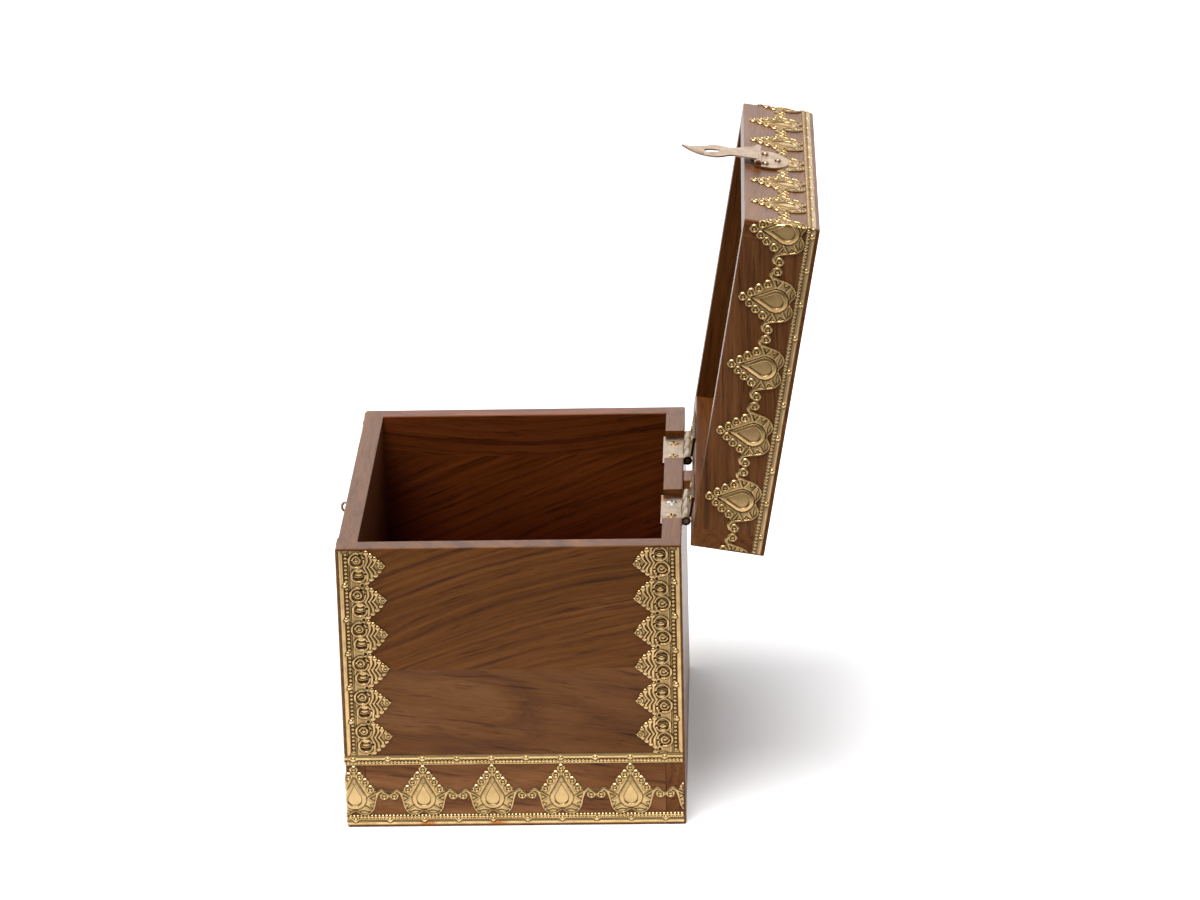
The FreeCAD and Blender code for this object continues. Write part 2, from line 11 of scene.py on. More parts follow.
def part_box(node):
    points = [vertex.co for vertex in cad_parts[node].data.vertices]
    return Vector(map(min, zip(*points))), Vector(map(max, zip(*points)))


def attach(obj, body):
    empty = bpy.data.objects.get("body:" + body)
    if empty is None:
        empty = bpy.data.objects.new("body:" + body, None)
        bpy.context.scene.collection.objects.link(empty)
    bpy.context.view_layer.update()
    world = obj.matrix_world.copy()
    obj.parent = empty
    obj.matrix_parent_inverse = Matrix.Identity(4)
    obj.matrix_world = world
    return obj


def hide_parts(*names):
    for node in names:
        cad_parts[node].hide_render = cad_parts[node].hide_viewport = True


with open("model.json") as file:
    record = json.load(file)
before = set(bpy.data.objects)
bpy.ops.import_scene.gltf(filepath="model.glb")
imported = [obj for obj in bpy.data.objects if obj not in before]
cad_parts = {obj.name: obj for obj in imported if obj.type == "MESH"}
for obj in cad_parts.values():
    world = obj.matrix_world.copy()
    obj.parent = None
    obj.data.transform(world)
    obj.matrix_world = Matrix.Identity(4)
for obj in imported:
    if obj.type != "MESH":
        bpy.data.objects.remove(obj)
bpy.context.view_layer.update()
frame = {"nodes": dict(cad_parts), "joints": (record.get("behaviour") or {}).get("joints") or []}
scene = bpy.context.scene
scene.view_settings.view_transform = "Standard"
mm = 0.001
print("frame loaded:", len(frame["nodes"]), "nodes")

# Sizes of the box, in millimetres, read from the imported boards
frontLow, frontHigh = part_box("front_panel")
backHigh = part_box("back_panel")[1]
halfWidth = frontHigh.x / mm
frontY = frontLow.y / mm
backY = backHigh.y / mm
rimZ = frontHigh.z / mm
lidJoint = next(j for j in frame["joints"] if j["name"] == "lid_hinge")
openAngle = math.radians(-lidJoint["range_deg"][0])
hingePoint = Vector(lidJoint["pos_m"])
openLid = (Matrix.Translation(hingePoint) @ Matrix.Rotation(openAngle, 4, Vector(lidJoint["axis"]))
           @ Matrix.Translation(-hingePoint))


# Small helpers for shader nodes

def newMaterial(name):
    material = bpy.data.materials.new(name)
    material.use_nodes = True
    tree = material.node_tree
    shader = next(n for n in tree.nodes if n.type == "BSDF_PRINCIPLED")
    return material, tree, shader


def addNode(tree, kind, inputs=None, **settings):
    made = tree.nodes.new(kind)
    for key, value in settings.items():
        setattr(made, key, value)
    for key, value in (inputs or {}).items():
        if isinstance(value, bpy.types.NodeSocket):
            tree.links.new(value, made.inputs[key])
        else:
            made.inputs[key].default_value = value
    return made


def mathNode(tree, operation, a, b=0.0):
    return addNode(tree, "ShaderNodeMath", {0: a, 1: b}, operation=operation).outputs[0]


def mixColour(tree, factor, a, b, blend="MIX"):
    made = addNode(tree, "ShaderNodeMix", {0: factor, 6: a, 7: b}, data_type="RGBA", blend_type=blend)
    return made.outputs[2]


def rampNode(tree, factor, stops):
    made = addNode(tree, "ShaderNodeValToRGB", {0: factor})
    band = made.color_ramp
    while len(band.elements) < len(stops):
        band.elements.new(0.5)
    for element, (place, colour) in zip(band.elements, stops):
        element.position = place
        element.color = (*colour, 1.0)
    return made.outputs[0]


def rangeNode(tree, value, low, high, toLow, toHigh):
    made = addNode(tree, "ShaderNodeMapRange", {0: value, 1: low, 2: high, 3: toLow, 4: toHigh}, clamp=True)
    return made.outputs[0]


def noiseNode(tree, vector, scales, detail, rough, seed=0.0):
    shift = {"Vector": vector, "Scale": scales, "Location": (seed, seed, seed)}
    place = addNode(tree, "ShaderNodeMapping", shift).outputs[0]
    texture = {"Vector": place, "Scale": 1.0, "Detail": detail, "Roughness": rough}
    return addNode(tree, "ShaderNodeTexNoise", texture)


def vectorNode(tree, operation, a, b):
    return addNode(tree, "ShaderNodeVectorMath", {0: a, 1: b}, operation=operation).outputs[0]


def mixVector(tree, factor, a, b):
    return addNode(tree, "ShaderNodeMix", {0: factor, 4: a, 5: b}, data_type="VECTOR").outputs[1]


def splitPlace(tree, place):
    return addNode(tree, "ShaderNodeSeparateXYZ", {0: place}).outputs


# Rosewood boards

woodLook = {
    "bandsPerMetre": 240.0, "ringDetail": 4.0, "ringRough": 0.58,
    "warpNoise": ((7.0, 22.0, 22.0), 3.0, 0.55), "warp": 0.014,  # scale along and across, detail, roughness
    "fibreNoise": ((18.0, 1100.0, 1100.0), 2.0, 0.6), "fibreShare": 0.30,
    "poreNoise": ((80.0, 2300.0, 2300.0), 1.0, 0.5), "poreShade": (0.60, 0.72, 1.0, 0.60),
    "veinNoise": ((22.0, 430.0, 430.0), 2.0, 0.55), "veinShade": (0.60, 0.72, 1.0, 0.50), "veinShare": -0.34,
    "mottleNoise": ((9.0, 26.0, 26.0), 3.0, 0.55), "mottleShade": (0.3, 0.72, 0.84, 1.14),
    "toneLift": 0.02, "tones": (0.14, 0.31, 0.50, 0.80),  # where streak, dark, mid and gold lie
    "streak": (0.040, 0.0115, 0.0030), "dark": (0.074, 0.0205, 0.0032),
    "mid": (0.112, 0.0330, 0.0038), "gold": (0.150, 0.0500, 0.0066),
    "rosy": (1.26, 1.65, 5.0), "rosyMottle": (0.32, 0.66, 0.35, 1.0),
    # painted reflection of the white floor: paler wood at the foot of the panels
    "foot": (1.27, 1.31, 1.36), "footSheenTop": 0.0465,
    # painted shade inside the box, darker towards the bottom
    "paintedInsideShade": (0.50, 0.28, 0.40),
    # painted shade in the inside front corner
    "cornerShade": (0.32, 0.20, 0.28), "cornerShadeAlong": (-0.045, -0.092), "cornerShadeUp": (0.188, 0.140),
    "roughFibre": (0.3, 0.7), "roughness": (0.30, 0.44), "specularTint": (0.40, 0.29, 0.21, 1),
    "bump": 0.20, "bumpDepth": 0.00025, "bumpFibre": 0.5,
}
# Axes: along the grain, up and out of the face. Slant, bow and heart say how the figure lies:
# a bow bends the lines over an apex, an eye is where they close in rings
alongSide = ("Y", "Z", "X")
alongFront = ("X", "Z", "Y")
alongTop = ("X", "Y", "Z")
boardLooks = {
    "right_panel": {
        "axes": alongSide, "slant": 0.0, "bow": (0.86, 0.165), "heart": (-0.31, 0.05),
        "seed": 3.1, "rosy": 0.25, "seam": 0.1085, "footSheened": True,
        "inside": (0.1150, 0.145, 0.095), "cornerShaded": True,
        "below": {"slant": 7.0, "bow": (0.0, 0.0), "eye": (-0.062, 0.076, 0.42, 0.085), "rosy": 0.95,
                  "seed": 18.4}},
    "left_panel": {
        "axes": alongSide, "slant": -2.0, "bow": (-0.9, 0.005), "heart": (-0.30, 0.06),
        "seed": 11.7, "rosy": 0.2, "seam": 0.162, "footSheened": True,
        "inside": (0.1150, 0.145, 0.095), "cornerShaded": True, "tint": (1.18, 0.86, 1.0),
        "below": {"slant": -21.0, "bow": (0.3, 0.05), "heart": (-0.25, 0.05), "rosy": 0.1, "seed": 12.9}},
    "front_panel": {
        "axes": alongFront, "slant": 4.0, "bow": (0.25, 0.02), "heart": (-0.12, 0.05),
        "seed": 23.3, "rosy": 0.3, "seam": 0.084, "footSheened": True, "inside": (0.0960, 0.190, 0.120),
        "below": {"slant": -3.0, "bow": (-0.3, 0.03), "heart": (0.29, 0.04), "rosy": 0.5, "seed": 27.1}},
    "back_panel": {
        "axes": alongFront, "slant": -3.0, "bow": (0.2, -0.03), "heart": (-0.23, 0.04),
        "seed": 31.9, "rosy": 0.3, "seam": 0.112, "inside": (0.0960, 0.150, 0.100),
        "below": {"slant": 4.0, "bow": (0.0, 0.0), "eye": (0.05, 0.06, 0.38, 0.08), "rosy": 0.4,
                  "seed": 35.6}},
    "bottom_panel": {
        "axes": alongTop, "slant": 2.0, "bow": (0.2, 0.0), "heart": (0.30, 0.05),
        "seed": 41.3, "rosy": 0.2, "tint": (0.50, 0.28, 0.40)},
    "lid_stop_block": {
        "axes": alongFront, "slant": 0.0, "bow": (0.0, 0.0), "heart": (0.2, 0.1), "seed": 7.7, "rosy": 0.5},
    "lid_top_panel": {
        "axes": alongTop, "slant": 3.0, "bow": (0.0, 0.0), "eye": (0.03, -0.22, 0.4, 0.09), "seed": 53.9,
        "rosy": 0.3, "lid": True},
    "lid_front_rail": {
        "axes": alongFront, "slant": 1.5, "bow": (0.1, 0.0), "heart": (0.1, 0.07),
        "seed": 61.1, "rosy": 0.6, "lid": True},
    "lid_back_rail": {
        "axes": alongFront, "slant": -1.5, "bow": (0.1, 0.0), "heart": (-0.1, 0.07),
        "seed": 67.7, "rosy": 0.4, "lid": True},
    "lid_left_rail": {
        "axes": alongSide, "slant": 2.0, "bow": (0.1, 0.0), "heart": (0.12, 0.06),
        "seed": 71.3, "rosy": 0.4, "lid": True},
    "lid_right_rail": {
        "axes": alongSide, "slant": -2.0, "bow": (0.2, 0.0), "heart": (-0.1, 0.05),
        "seed": 79.9, "rosy": 0.95, "lid": True},
}


def grainLie(tree, look, along, up, face):
    # the place seen from the heart of the tree, and the place along and across the grain
    slope = math.tan(math.radians(look["slant"]))
    bow, apex = look["bow"]
    off = mathNode(tree, "SUBTRACT", along, apex)
    level = mathNode(tree, "ADD", up, mathNode(tree, "MULTIPLY", mathNode(tree, "MULTIPLY", off, off), bow))
    level = mathNode(tree, "ADD", level, mathNode(tree, "MULTIPLY", along, slope))
    if "eye" in look:
        eyeAlong, eyeUp, squeeze, reach = look["eye"]
        away = mathNode(tree, "ABSOLUTE", mathNode(tree, "SUBTRACT", along, eyeAlong))
        aside = mathNode(tree, "MULTIPLY", mathNode(tree, "MINIMUM", away, reach), squeeze)
        heart = (eyeUp, 0.0)
    else:
        aside = 0.0
        heart = look["heart"]
    fromHeart = {0: aside, 1: mathNode(tree, "SUBTRACT", level, heart[0]),
                 2: mathNode(tree, "SUBTRACT", face, heart[1])}
    across = addNode(tree, "ShaderNodeCombineXYZ", fromHeart).outputs[0]
    lie = addNode(tree, "ShaderNodeCombineXYZ", {0: along, 1: level, 2: face}).outputs[0]
    return across, lie


def woodMaterial(name, look):
    wood = woodLook
    seed = look["seed"]
    material, tree, shader = newMaterial("rosewood_" + name)
    place = addNode(tree, "ShaderNodeTexCoord").outputs["Object"]
    if look.get("lid"):  # the lid rests open, so its boards are read as if it were shut
        shut = {"Vector": place, "Rotation": (openAngle, 0, 0)}
        place = addNode(tree, "ShaderNodeMapping", shut).outputs[0]
    parts = splitPlace(tree, place)
    along, up, face = [parts[axis] for axis in look["axes"]]
    across, lie = grainLie(tree, look, along, up, face)
    rosyShare = look["rosy"]
    start = seed
    if "seam" in look:  # two boards glued edge to edge
        below = look["below"]
        lower = mathNode(tree, "LESS_THAN", up, look["seam"])
        acrossLow, lieLow = grainLie(tree, below, along, up, face)
        across = mixVector(tree, lower, across, acrossLow)
        lie = mixVector(tree, lower, lie, lieLow)
        rosyShare = rangeNode(tree, lower, 0.0, 1.0, look["rosy"], below["rosy"])
        start = rangeNode(tree, lower, 0.0, 1.0, seed, below["seed"])
    warp = noiseNode(tree, lie, *wood["warpNoise"], seed).outputs["Color"]
    warp = vectorNode(tree, "SUBTRACT", warp, (0.5, 0.5, 0.5))
    warp = vectorNode(tree, "MULTIPLY", warp, (wood["warp"],) * 3)
    across = vectorNode(tree, "ADD", across, warp)
    bent = vectorNode(tree, "ADD", lie, warp)
    radius = addNode(tree, "ShaderNodeVectorMath", {0: across}, operation="LENGTH").outputs["Value"]
    ringCount = addNode(tree, "ShaderNodeMath", {0: radius, 1: wood["bandsPerMetre"], 2: start},
                        operation="MULTIPLY_ADD").outputs[0]
    ringNoise = {"W": ringCount, "Scale": 1.0, "Detail": wood["ringDetail"], "Roughness": wood["ringRough"]}
    rings = addNode(tree, "ShaderNodeTexNoise", ringNoise, noise_dimensions="1D").outputs[0]
    fibre = noiseNode(tree, bent, *wood["fibreNoise"], seed).outputs[0]
    pore = noiseNode(tree, bent, *wood["poreNoise"], seed + 5).outputs[0]
    vein = noiseNode(tree, bent, *wood["veinNoise"], seed + 3).outputs[0]
    mottle = noiseNode(tree, lie, *wood["mottleNoise"], seed + 9).outputs[0]

    grain = mathNode(tree, "ADD", mathNode(tree, "MULTIPLY", fibre, wood["fibreShare"]),
                     mathNode(tree, "MULTIPLY", vein, wood["veinShare"]))
    tone = mathNode(tree, "ADD", rings, mathNode(tree, "ADD", grain, wood["toneLift"]))
    shades = [wood[shade] for shade in ("streak", "dark", "mid", "gold")]
    colour = rampNode(tree, tone, list(zip(wood["tones"], shades)))
    rosy = mathNode(tree, "MULTIPLY", rangeNode(tree, mottle, *wood["rosyMottle"]), rosyShare)
    colour = mixColour(tree, rosy, colour, (*wood["rosy"], 1), "MULTIPLY")
    shade = rangeNode(tree, mottle, *wood["mottleShade"])
    pores = rangeNode(tree, pore, *wood["poreShade"])
    veins = rangeNode(tree, vein, *wood["veinShade"])
    dark = mathNode(tree, "MULTIPLY", mathNode(tree, "MULTIPLY", shade, pores), veins)
    colour = mixColour(tree, 1.0, colour, dark, "MULTIPLY")
    if "tint" in look:
        colour = mixColour(tree, 1.0, colour, (*look["tint"], 1), "MULTIPLY")
    if look.get("footSheened"):  # painted reflection of the white floor: paler below the border strip
        footSheen = mathNode(tree, "LESS_THAN", up, wood["footSheenTop"])
        colour = mixColour(tree, footSheen, colour, (*wood["foot"], 1), "MULTIPLY")
    if "inside" in look:  # painted shade: the inside faces darker towards the bottom
        reach, shadeFrom, shadeTo = look["inside"]
        inner = mathNode(tree, "LESS_THAN", mathNode(tree, "ABSOLUTE", face), reach)
        deep = mathNode(tree, "MULTIPLY", inner, rangeNode(tree, up, shadeFrom, shadeTo, 0.0, 1.0))
        colour = mixColour(tree, deep, colour, (*wood["paintedInsideShade"], 1), "MULTIPLY")
        if look.get("cornerShaded"):  # painted shade towards the inside front corner, where the front board shades the walls
            cornerShade = mathNode(tree, "MULTIPLY", rangeNode(tree, along, *wood["cornerShadeAlong"], 0.0, 1.0),
                            rangeNode(tree, up, *wood["cornerShadeUp"], 0.0, 1.0))
            cornerShade = mathNode(tree, "MULTIPLY", inner, cornerShade)
            colour = mixColour(tree, cornerShade, colour, (*wood["cornerShade"], 1), "MULTIPLY")
    tree.links.new(colour, shader.inputs["Base Color"])
    rough = rangeNode(tree, fibre, *wood["roughFibre"], *wood["roughness"])
    tree.links.new(rough, shader.inputs["Roughness"])
    shader.inputs["Specular Tint"].default_value = wood["specularTint"]
    height = mathNode(tree, "ADD", mathNode(tree, "MULTIPLY", fibre, wood["bumpFibre"]), pores)
    bump = addNode(tree, "ShaderNodeBump", {"Height": height, "Strength": wood["bump"],
                                            "Distance": wood["bumpDepth"]})
    tree.links.new(bump.outputs[0], shader.inputs["Normal"])
    return material


def dress(node, material):
    slots = frame["nodes"][node].data.materials
    slots.clear()
    slots.append(material)


for boardName, boardLook in boardLooks.items():
    dress(boardName, woodMaterial(boardName, boardLook))
print("boards dressed:", len(boardLooks))


# Brass and steel finishes

brassLooks = {
    "stamped": {"bright": (0.60, 0.415, 0.19), "dull": (0.48, 0.325, 0.138), "hollow": (0.15, 0.082, 0.028),
                "roughness": (0.22, 0.42), "bump": 0.10},
    "stained": {"bright": (0.76, 0.53, 0.245), "dull": (0.52, 0.34, 0.135), "hollow": (0.085, 0.043, 0.012),
                "roughness": (0.22, 0.42), "bump": 0.10, "spots": (-0.057, -0.012)},
    "lace": {"bright": (0.65, 0.43, 0.195), "dull": (0.46, 0.295, 0.12), "hollow": (0.055, 0.027, 0.008),
             "roughness": (0.24, 0.44), "bump": 0.10},
    "worn": {"bright": (0.61, 0.40, 0.18), "dull": (0.41, 0.26, 0.102), "hollow": (0.075, 0.037, 0.011),
             "roughness": (0.24, 0.44), "bump": 0.10},
    "dulled": {"bright": (0.56, 0.375, 0.185), "dull": (0.39, 0.255, 0.12), "hollow": (0.075, 0.037, 0.011),
               "roughness": (0.30, 0.50), "bump": 0.12},
    "fitting": {"bright": (0.41, 0.31, 0.215), "dull": (0.30, 0.22, 0.145), "hollow": (0.045, 0.028, 0.018),
                "roughness": (0.26, 0.46), "stain": 0.7, "bump": 0.06, "ends": (0.0544, 0.02485)},
    "hasp": {"bright": (0.48, 0.34, 0.23), "dull": (0.35, 0.245, 0.155), "hollow": (0.20, 0.13, 0.07),
             "roughness": (0.28, 0.48), "bump": 0.08},
    "screw": {"bright": (0.74, 0.50, 0.22), "dull": (0.50, 0.32, 0.13), "hollow": (0.030, 0.018, 0.010),
              "roughness": (0.18, 0.34), "bump": 0.06,
              "recess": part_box("base_hinge_screws")[1].z, "odd": 0.0429, "oddColour": (0.86, 0.85, 0.83)},
    "nail": {"bright": (0.76, 0.54, 0.25), "dull": (0.52, 0.34, 0.14), "hollow": (0.12, 0.07, 0.02),
             "roughness": (0.22, 0.40), "bump": 0.08},
    "pin": {"bright": (0.17, 0.14, 0.12), "dull": (0.09, 0.07, 0.055), "hollow": (0.05, 0.04, 0.03),
            "roughness": (0.34, 0.54), "bump": 0.08},
    "steel": {"bright": (0.46, 0.43, 0.40), "dull": (0.24, 0.21, 0.19), "hollow": (0.08, 0.07, 0.06),
              "roughness": (0.32, 0.52), "bump": 0.08},
}
metalWear = {
    "cloud": ((120.0, 120.0, 120.0), 4.0, 0.6),  # scale, detail and roughness
    "speck": ((1900.0, 1900.0, 1900.0), 3.0, 0.6, 4.0),  # the same and a seed
    "tarnish": (0.52, 0.80, 0.0, 0.8), "tarnishSpeck": 0.25,
    "hollow": (0.16, 0.75, 0.0, 1.0), "hollowSpeck": 0.2,
    "rough": (0.35, 0.8), "roughHollow": 0.4,
    "stain": (0.42, 0.13, 0.012), "stainNoise": ((55.0, 55.0, 160.0), 2.0, 0.5, 2.7),
    "stainFrom": (0.62, 0.70),
    "spotRagged": 0.012, "spotUp": (0.0030, 0.0048, 1.0, 0.0), "spotFace": 0.12,
    "spotReach": (0.0025, 0.0070, 0.9, 0.0),
    "oddReach": 0.006, "recessDepth": (0.00115, 0.00093),
    "bumpDepth": 0.0002,
}


def metalMaterial(name, look):
    wear = metalWear
    material, tree, shader = newMaterial(name + "_metal")
    place = addNode(tree, "ShaderNodeTexCoord").outputs["Object"]
    cloud = noiseNode(tree, place, *wear["cloud"]).outputs[0]
    speck = noiseNode(tree, place, *wear["speck"]).outputs[0]
    hollow = addNode(tree, "ShaderNodeAttribute", attribute_name="hollow").outputs["Fac"]
    tarnish = mathNode(tree, "ADD", cloud, mathNode(tree, "MULTIPLY", speck, wear["tarnishSpeck"]))
    tarnish = rangeNode(tree, tarnish, *wear["tarnish"])
    colour = mixColour(tree, tarnish, (*look["bright"], 1), (*look["dull"], 1))
    deep = mathNode(tree, "ADD", hollow, mathNode(tree, "MULTIPLY", speck, wear["hollowSpeck"]))
    deep = rangeNode(tree, deep, *wear["hollow"])
    colour = mixColour(tree, deep, colour, (*look["hollow"], 1))
    rough = mathNode(tree, "ADD", cloud, mathNode(tree, "MULTIPLY", hollow, wear["roughHollow"]))
    rough = rangeNode(tree, rough, *wear["rough"], *look["roughness"])
    if "stain" in look:
        spot = noiseNode(tree, place, *wear["stainNoise"]).outputs[0]
        spot = rangeNode(tree, spot, *wear["stainFrom"], 0.0, look["stain"])
        colour = mixColour(tree, spot, colour, (*wear["stain"], 1))
    if "spots" in look:  # orange tarnish low on the right-hand side
        parts = splitPlace(tree, place)
        ragged = mathNode(tree, "MULTIPLY", mathNode(tree, "SUBTRACT", speck, 0.5), wear["spotRagged"])
        low = rangeNode(tree, mathNode(tree, "ADD", parts["Z"], ragged), *wear["spotUp"])
        low = mathNode(tree, "MULTIPLY", low, mathNode(tree, "GREATER_THAN", parts["X"], wear["spotFace"]))
        for spotPlace in look["spots"]:
            off = mathNode(tree, "ABSOLUTE", mathNode(tree, "SUBTRACT", parts["Y"], spotPlace))
            spot = rangeNode(tree, mathNode(tree, "ADD", off, ragged), *wear["spotReach"])
            colour = mixColour(tree, mathNode(tree, "MULTIPLY", spot, low), colour, (*wear["stain"], 1))
    if "ends" in look:  # the cut ends of the knuckles darkened
        hingeMiddle, halfBarrel = look["ends"]
        sideways = splitPlace(tree, place)["X"]
        fromMiddle = mathNode(tree, "SUBTRACT", mathNode(tree, "ABSOLUTE", sideways), hingeMiddle)
        cutEnd = mathNode(tree, "GREATER_THAN", mathNode(tree, "ABSOLUTE", fromMiddle), halfBarrel)
        colour = mixColour(tree, cutEnd, colour, (*look["hollow"], 1))
    if "recess" in look:  # one screw of bare steel, and painted shade in the cross of each, darker with depth
        parts = splitPlace(tree, place)
        fromOdd = mathNode(tree, "ABSOLUTE", mathNode(tree, "SUBTRACT", parts["X"], look["odd"]))
        odd = mathNode(tree, "LESS_THAN", fromOdd, wear["oddReach"])
        colour = mixColour(tree, odd, colour, (*look["oddColour"], 1))
        deepest, highest = [look["recess"] - depth for depth in wear["recessDepth"]]
        sunk = rangeNode(tree, parts["Z"], deepest, highest, 1.0, 0.0)
        colour = mixColour(tree, sunk, colour, (*look["hollow"], 1))
    tree.links.new(colour, shader.inputs["Base Color"])
    tree.links.new(rough, shader.inputs["Roughness"])
    shader.inputs["Metallic"].default_value = 1.0
    bump = addNode(tree, "ShaderNodeBump", {"Height": mathNode(tree, "ADD", cloud, speck),
                                            "Strength": look["bump"], "Distance": wear["bumpDepth"]})
    tree.links.new(bump.outputs[0], shader.inputs["Normal"])
    return material


metals = {name: metalMaterial(name, look) for name, look in brassLooks.items()}
metalNodes = {
    "fitting": ["left_hinge_base_leaf", "right_hinge_base_leaf",
                "left_hinge_lid_leaf", "right_hinge_lid_leaf"],
    "hasp": ["hasp_plate", "hasp_strap", "hasp_staple", "hasp_nails"],
    "screw": ["base_hinge_screws"],
    "nail": ["base_band_nails", "base_border_nails", "lid_band_nails", "lace_nails", "lid_hinge_screws"],
    "pin": ["left_hinge_pin", "right_hinge_pin", "hasp_pin"],
    "steel": ["base_corner_brads", "bottom_brads", "lid_corner_brads"],
}
for finish, names in metalNodes.items():
    for node in names:
        dress(node, metals[finish])
print("fittings dressed:", sum(len(names) for names in metalNodes.values()))


# Relief of the stamped brass, worked out in millimetres on the flat sheet

def smoothLine(points, steps=6):
    pts = np.array(points, float)
    last = len(pts) - 1
    out = []
    for i in range(last):
        p0, p1, p2, p3 = (pts[min(max(i + k, 0), last)] for k in (-1, 0, 1, 2))
        for t in np.arange(steps) / steps:
            out.append(0.5 * (2 * p1 + (p2 - p0) * t + (2 * p0 - 5 * p1 + 4 * p2 - p3) * t * t
                              + (3 * p1 - p0 - 3 * p2 + p3) * t ** 3))
    out.append(pts[-1])
    return np.array(out)


def lineDistance(u, v, line, closed=False):
    best = np.full(u.shape, 1e9)
    ends = np.roll(line, -1, axis=0) if closed else line[1:]
    for (au, av), (bu, bv) in zip(line, ends):
        du, dv = bu - au, bv - av
        t = np.clip(((u - au) * du + (v - av) * dv) / (du * du + dv * dv + 1e-12), 0, 1)
        best = np.minimum(best, (u - au - t * du) ** 2 + (v - av - t * dv) ** 2)
    return np.sqrt(best)


def shapeDistance(u, v, line):
    inside = np.zeros(u.shape, bool)
    for (au, av), (bu, bv) in zip(line, np.roll(line, -1, axis=0)):
        if av != bv:
            inside ^= ((av > v) != (bv > v)) & (u < (bu - au) * (v - av) / (bv - av) + au)
    away = lineDistance(u, v, line, True)
    return np.where(inside, -away, away)


def dropDistance(u, v, radius, height, tip=0.2):
    b = (radius - tip) / height
    a = math.sqrt(1 - b * b)
    u = np.abs(u)
    k = a * v - b * u
    low = np.hypot(u, v) - radius
    top = np.hypot(u, v - height) - tip
    return np.where(k < 0, low, np.where(k > a * height, top, a * u + b * v - radius))


def ridge(distance, half, height):
    return height * 0.5 * (1 + np.cos(np.pi * np.clip(np.abs(distance) / half, 0, 1)))


def dome(distance, radius):
    return np.sqrt(np.clip(1 - (distance / radius) ** 2, 0, 1))


def ease(x):
    t = np.clip(x, 0, 1)
    return t * t * (3 - 2 * t)


rng = np.random.default_rng(7)  # the long shallow waves of hand-laid sheet
dentWaves = [(rng.uniform(0.15, 0.9), rng.uniform(-0.6, 0.6), rng.uniform(0, 6.28)) for _ in range(9)]


def dents(s, v):
    return sum(np.sin(a * s + b * v + c) for a, b, c in dentWaves) / len(dentWaves)


# Reliefs are given as half width and rise, or as place, half width and rise
motif = {
    "pitch": 44.0, "base": 0.42, "crown": (1.6, 0.08), "sink": (0.8, 0.10),
    "rings": [(0.0, 32.0), (3.45, 27.4), (6.85, 23.2), (10.1, 18.2)], "ringRadius": 2.8, "ringCrest": 2.0,
    "link": (18.8, 13.55), "linkRadius": 3.0, "linkCrest": 2.1, "neck": 1.3,
    "arm": [(13.6, 13.4), (15.1, 16.1), (17.2, 17.0), (19.4, 16.0)], "armHalf": 1.3, "armRidge": (1.2, 0.58),
    "armFrom": -1.4,
    "lobe": [(0, 2.8), (1.5, 2.1), (3.4, 0.65), (6.3, 0.0), (9.1, 0.8), (11.6, 3.2), (12.9, 6.0), (13.7, 9.6),
             (14.8, 13.4), (15.2, 16.0)], "lobeRidge": (0.62, 0.72, 0.72),
    "flank": [(13.0, 17.2), (10.7, 19.9), (4.7, 27.5), (0, 31.8)],
    "spokes": [[(8.4, 12.3), (13.3, 9.0)], [(8.8, 12.6), (14.6, 16.0)], [(6.6, 6.6), (11.3, 3.2)]],
    "spokeRidge": (0.80, 0.56),
    "cuts": [[(8.9, 2.6), (5.6, 3.5), (1.8, 2.9)], [(12.3, 8.2), (9.6, 7.4), (11.6, 4.6)],
             [(13.6, 13.6), (10.6, 12.6)]], "cutRidge": (0.62, 0.30),
    "dropLow": 11.5, "dropRadius": 7.2, "dropHeight": 14.5,
    "dropRoll": (0.02, 0.60, 0.85),  # start, rise and power
    "gapSink": 0.20, "gapOut": 1.1, "gapRidge": (1.45, 0.75, 0.46),
    "plateLow": 11.6, "plateRadius": 4.6, "plateHeight": 9.4, "plateRise": 0.12, "plateCrown": (3.5, 0.14),
    "plateRim": (0.55, 0.55, 0.26), "plateFade": 0.75,
}
motifRing = {"rise": 0.12, "ridge": (0.80, 0.62), "groove": (0.85, 0.50, 0.22), "bead": (0.9, 0.24),
             "beadSink": 0.06}


def ringRelief(r, base, crest):
    look = motifRing
    grooveIn, grooveHalf, grooveDepth = look["groove"]
    bead, beadRise = look["bead"]
    h = base + look["rise"] + ridge(r - crest, *look["ridge"])
    h = h - ridge(r - crest + grooveIn, grooveHalf, grooveDepth)
    return h + beadRise * dome(r, bead) - look["beadSink"] * (r < bead)


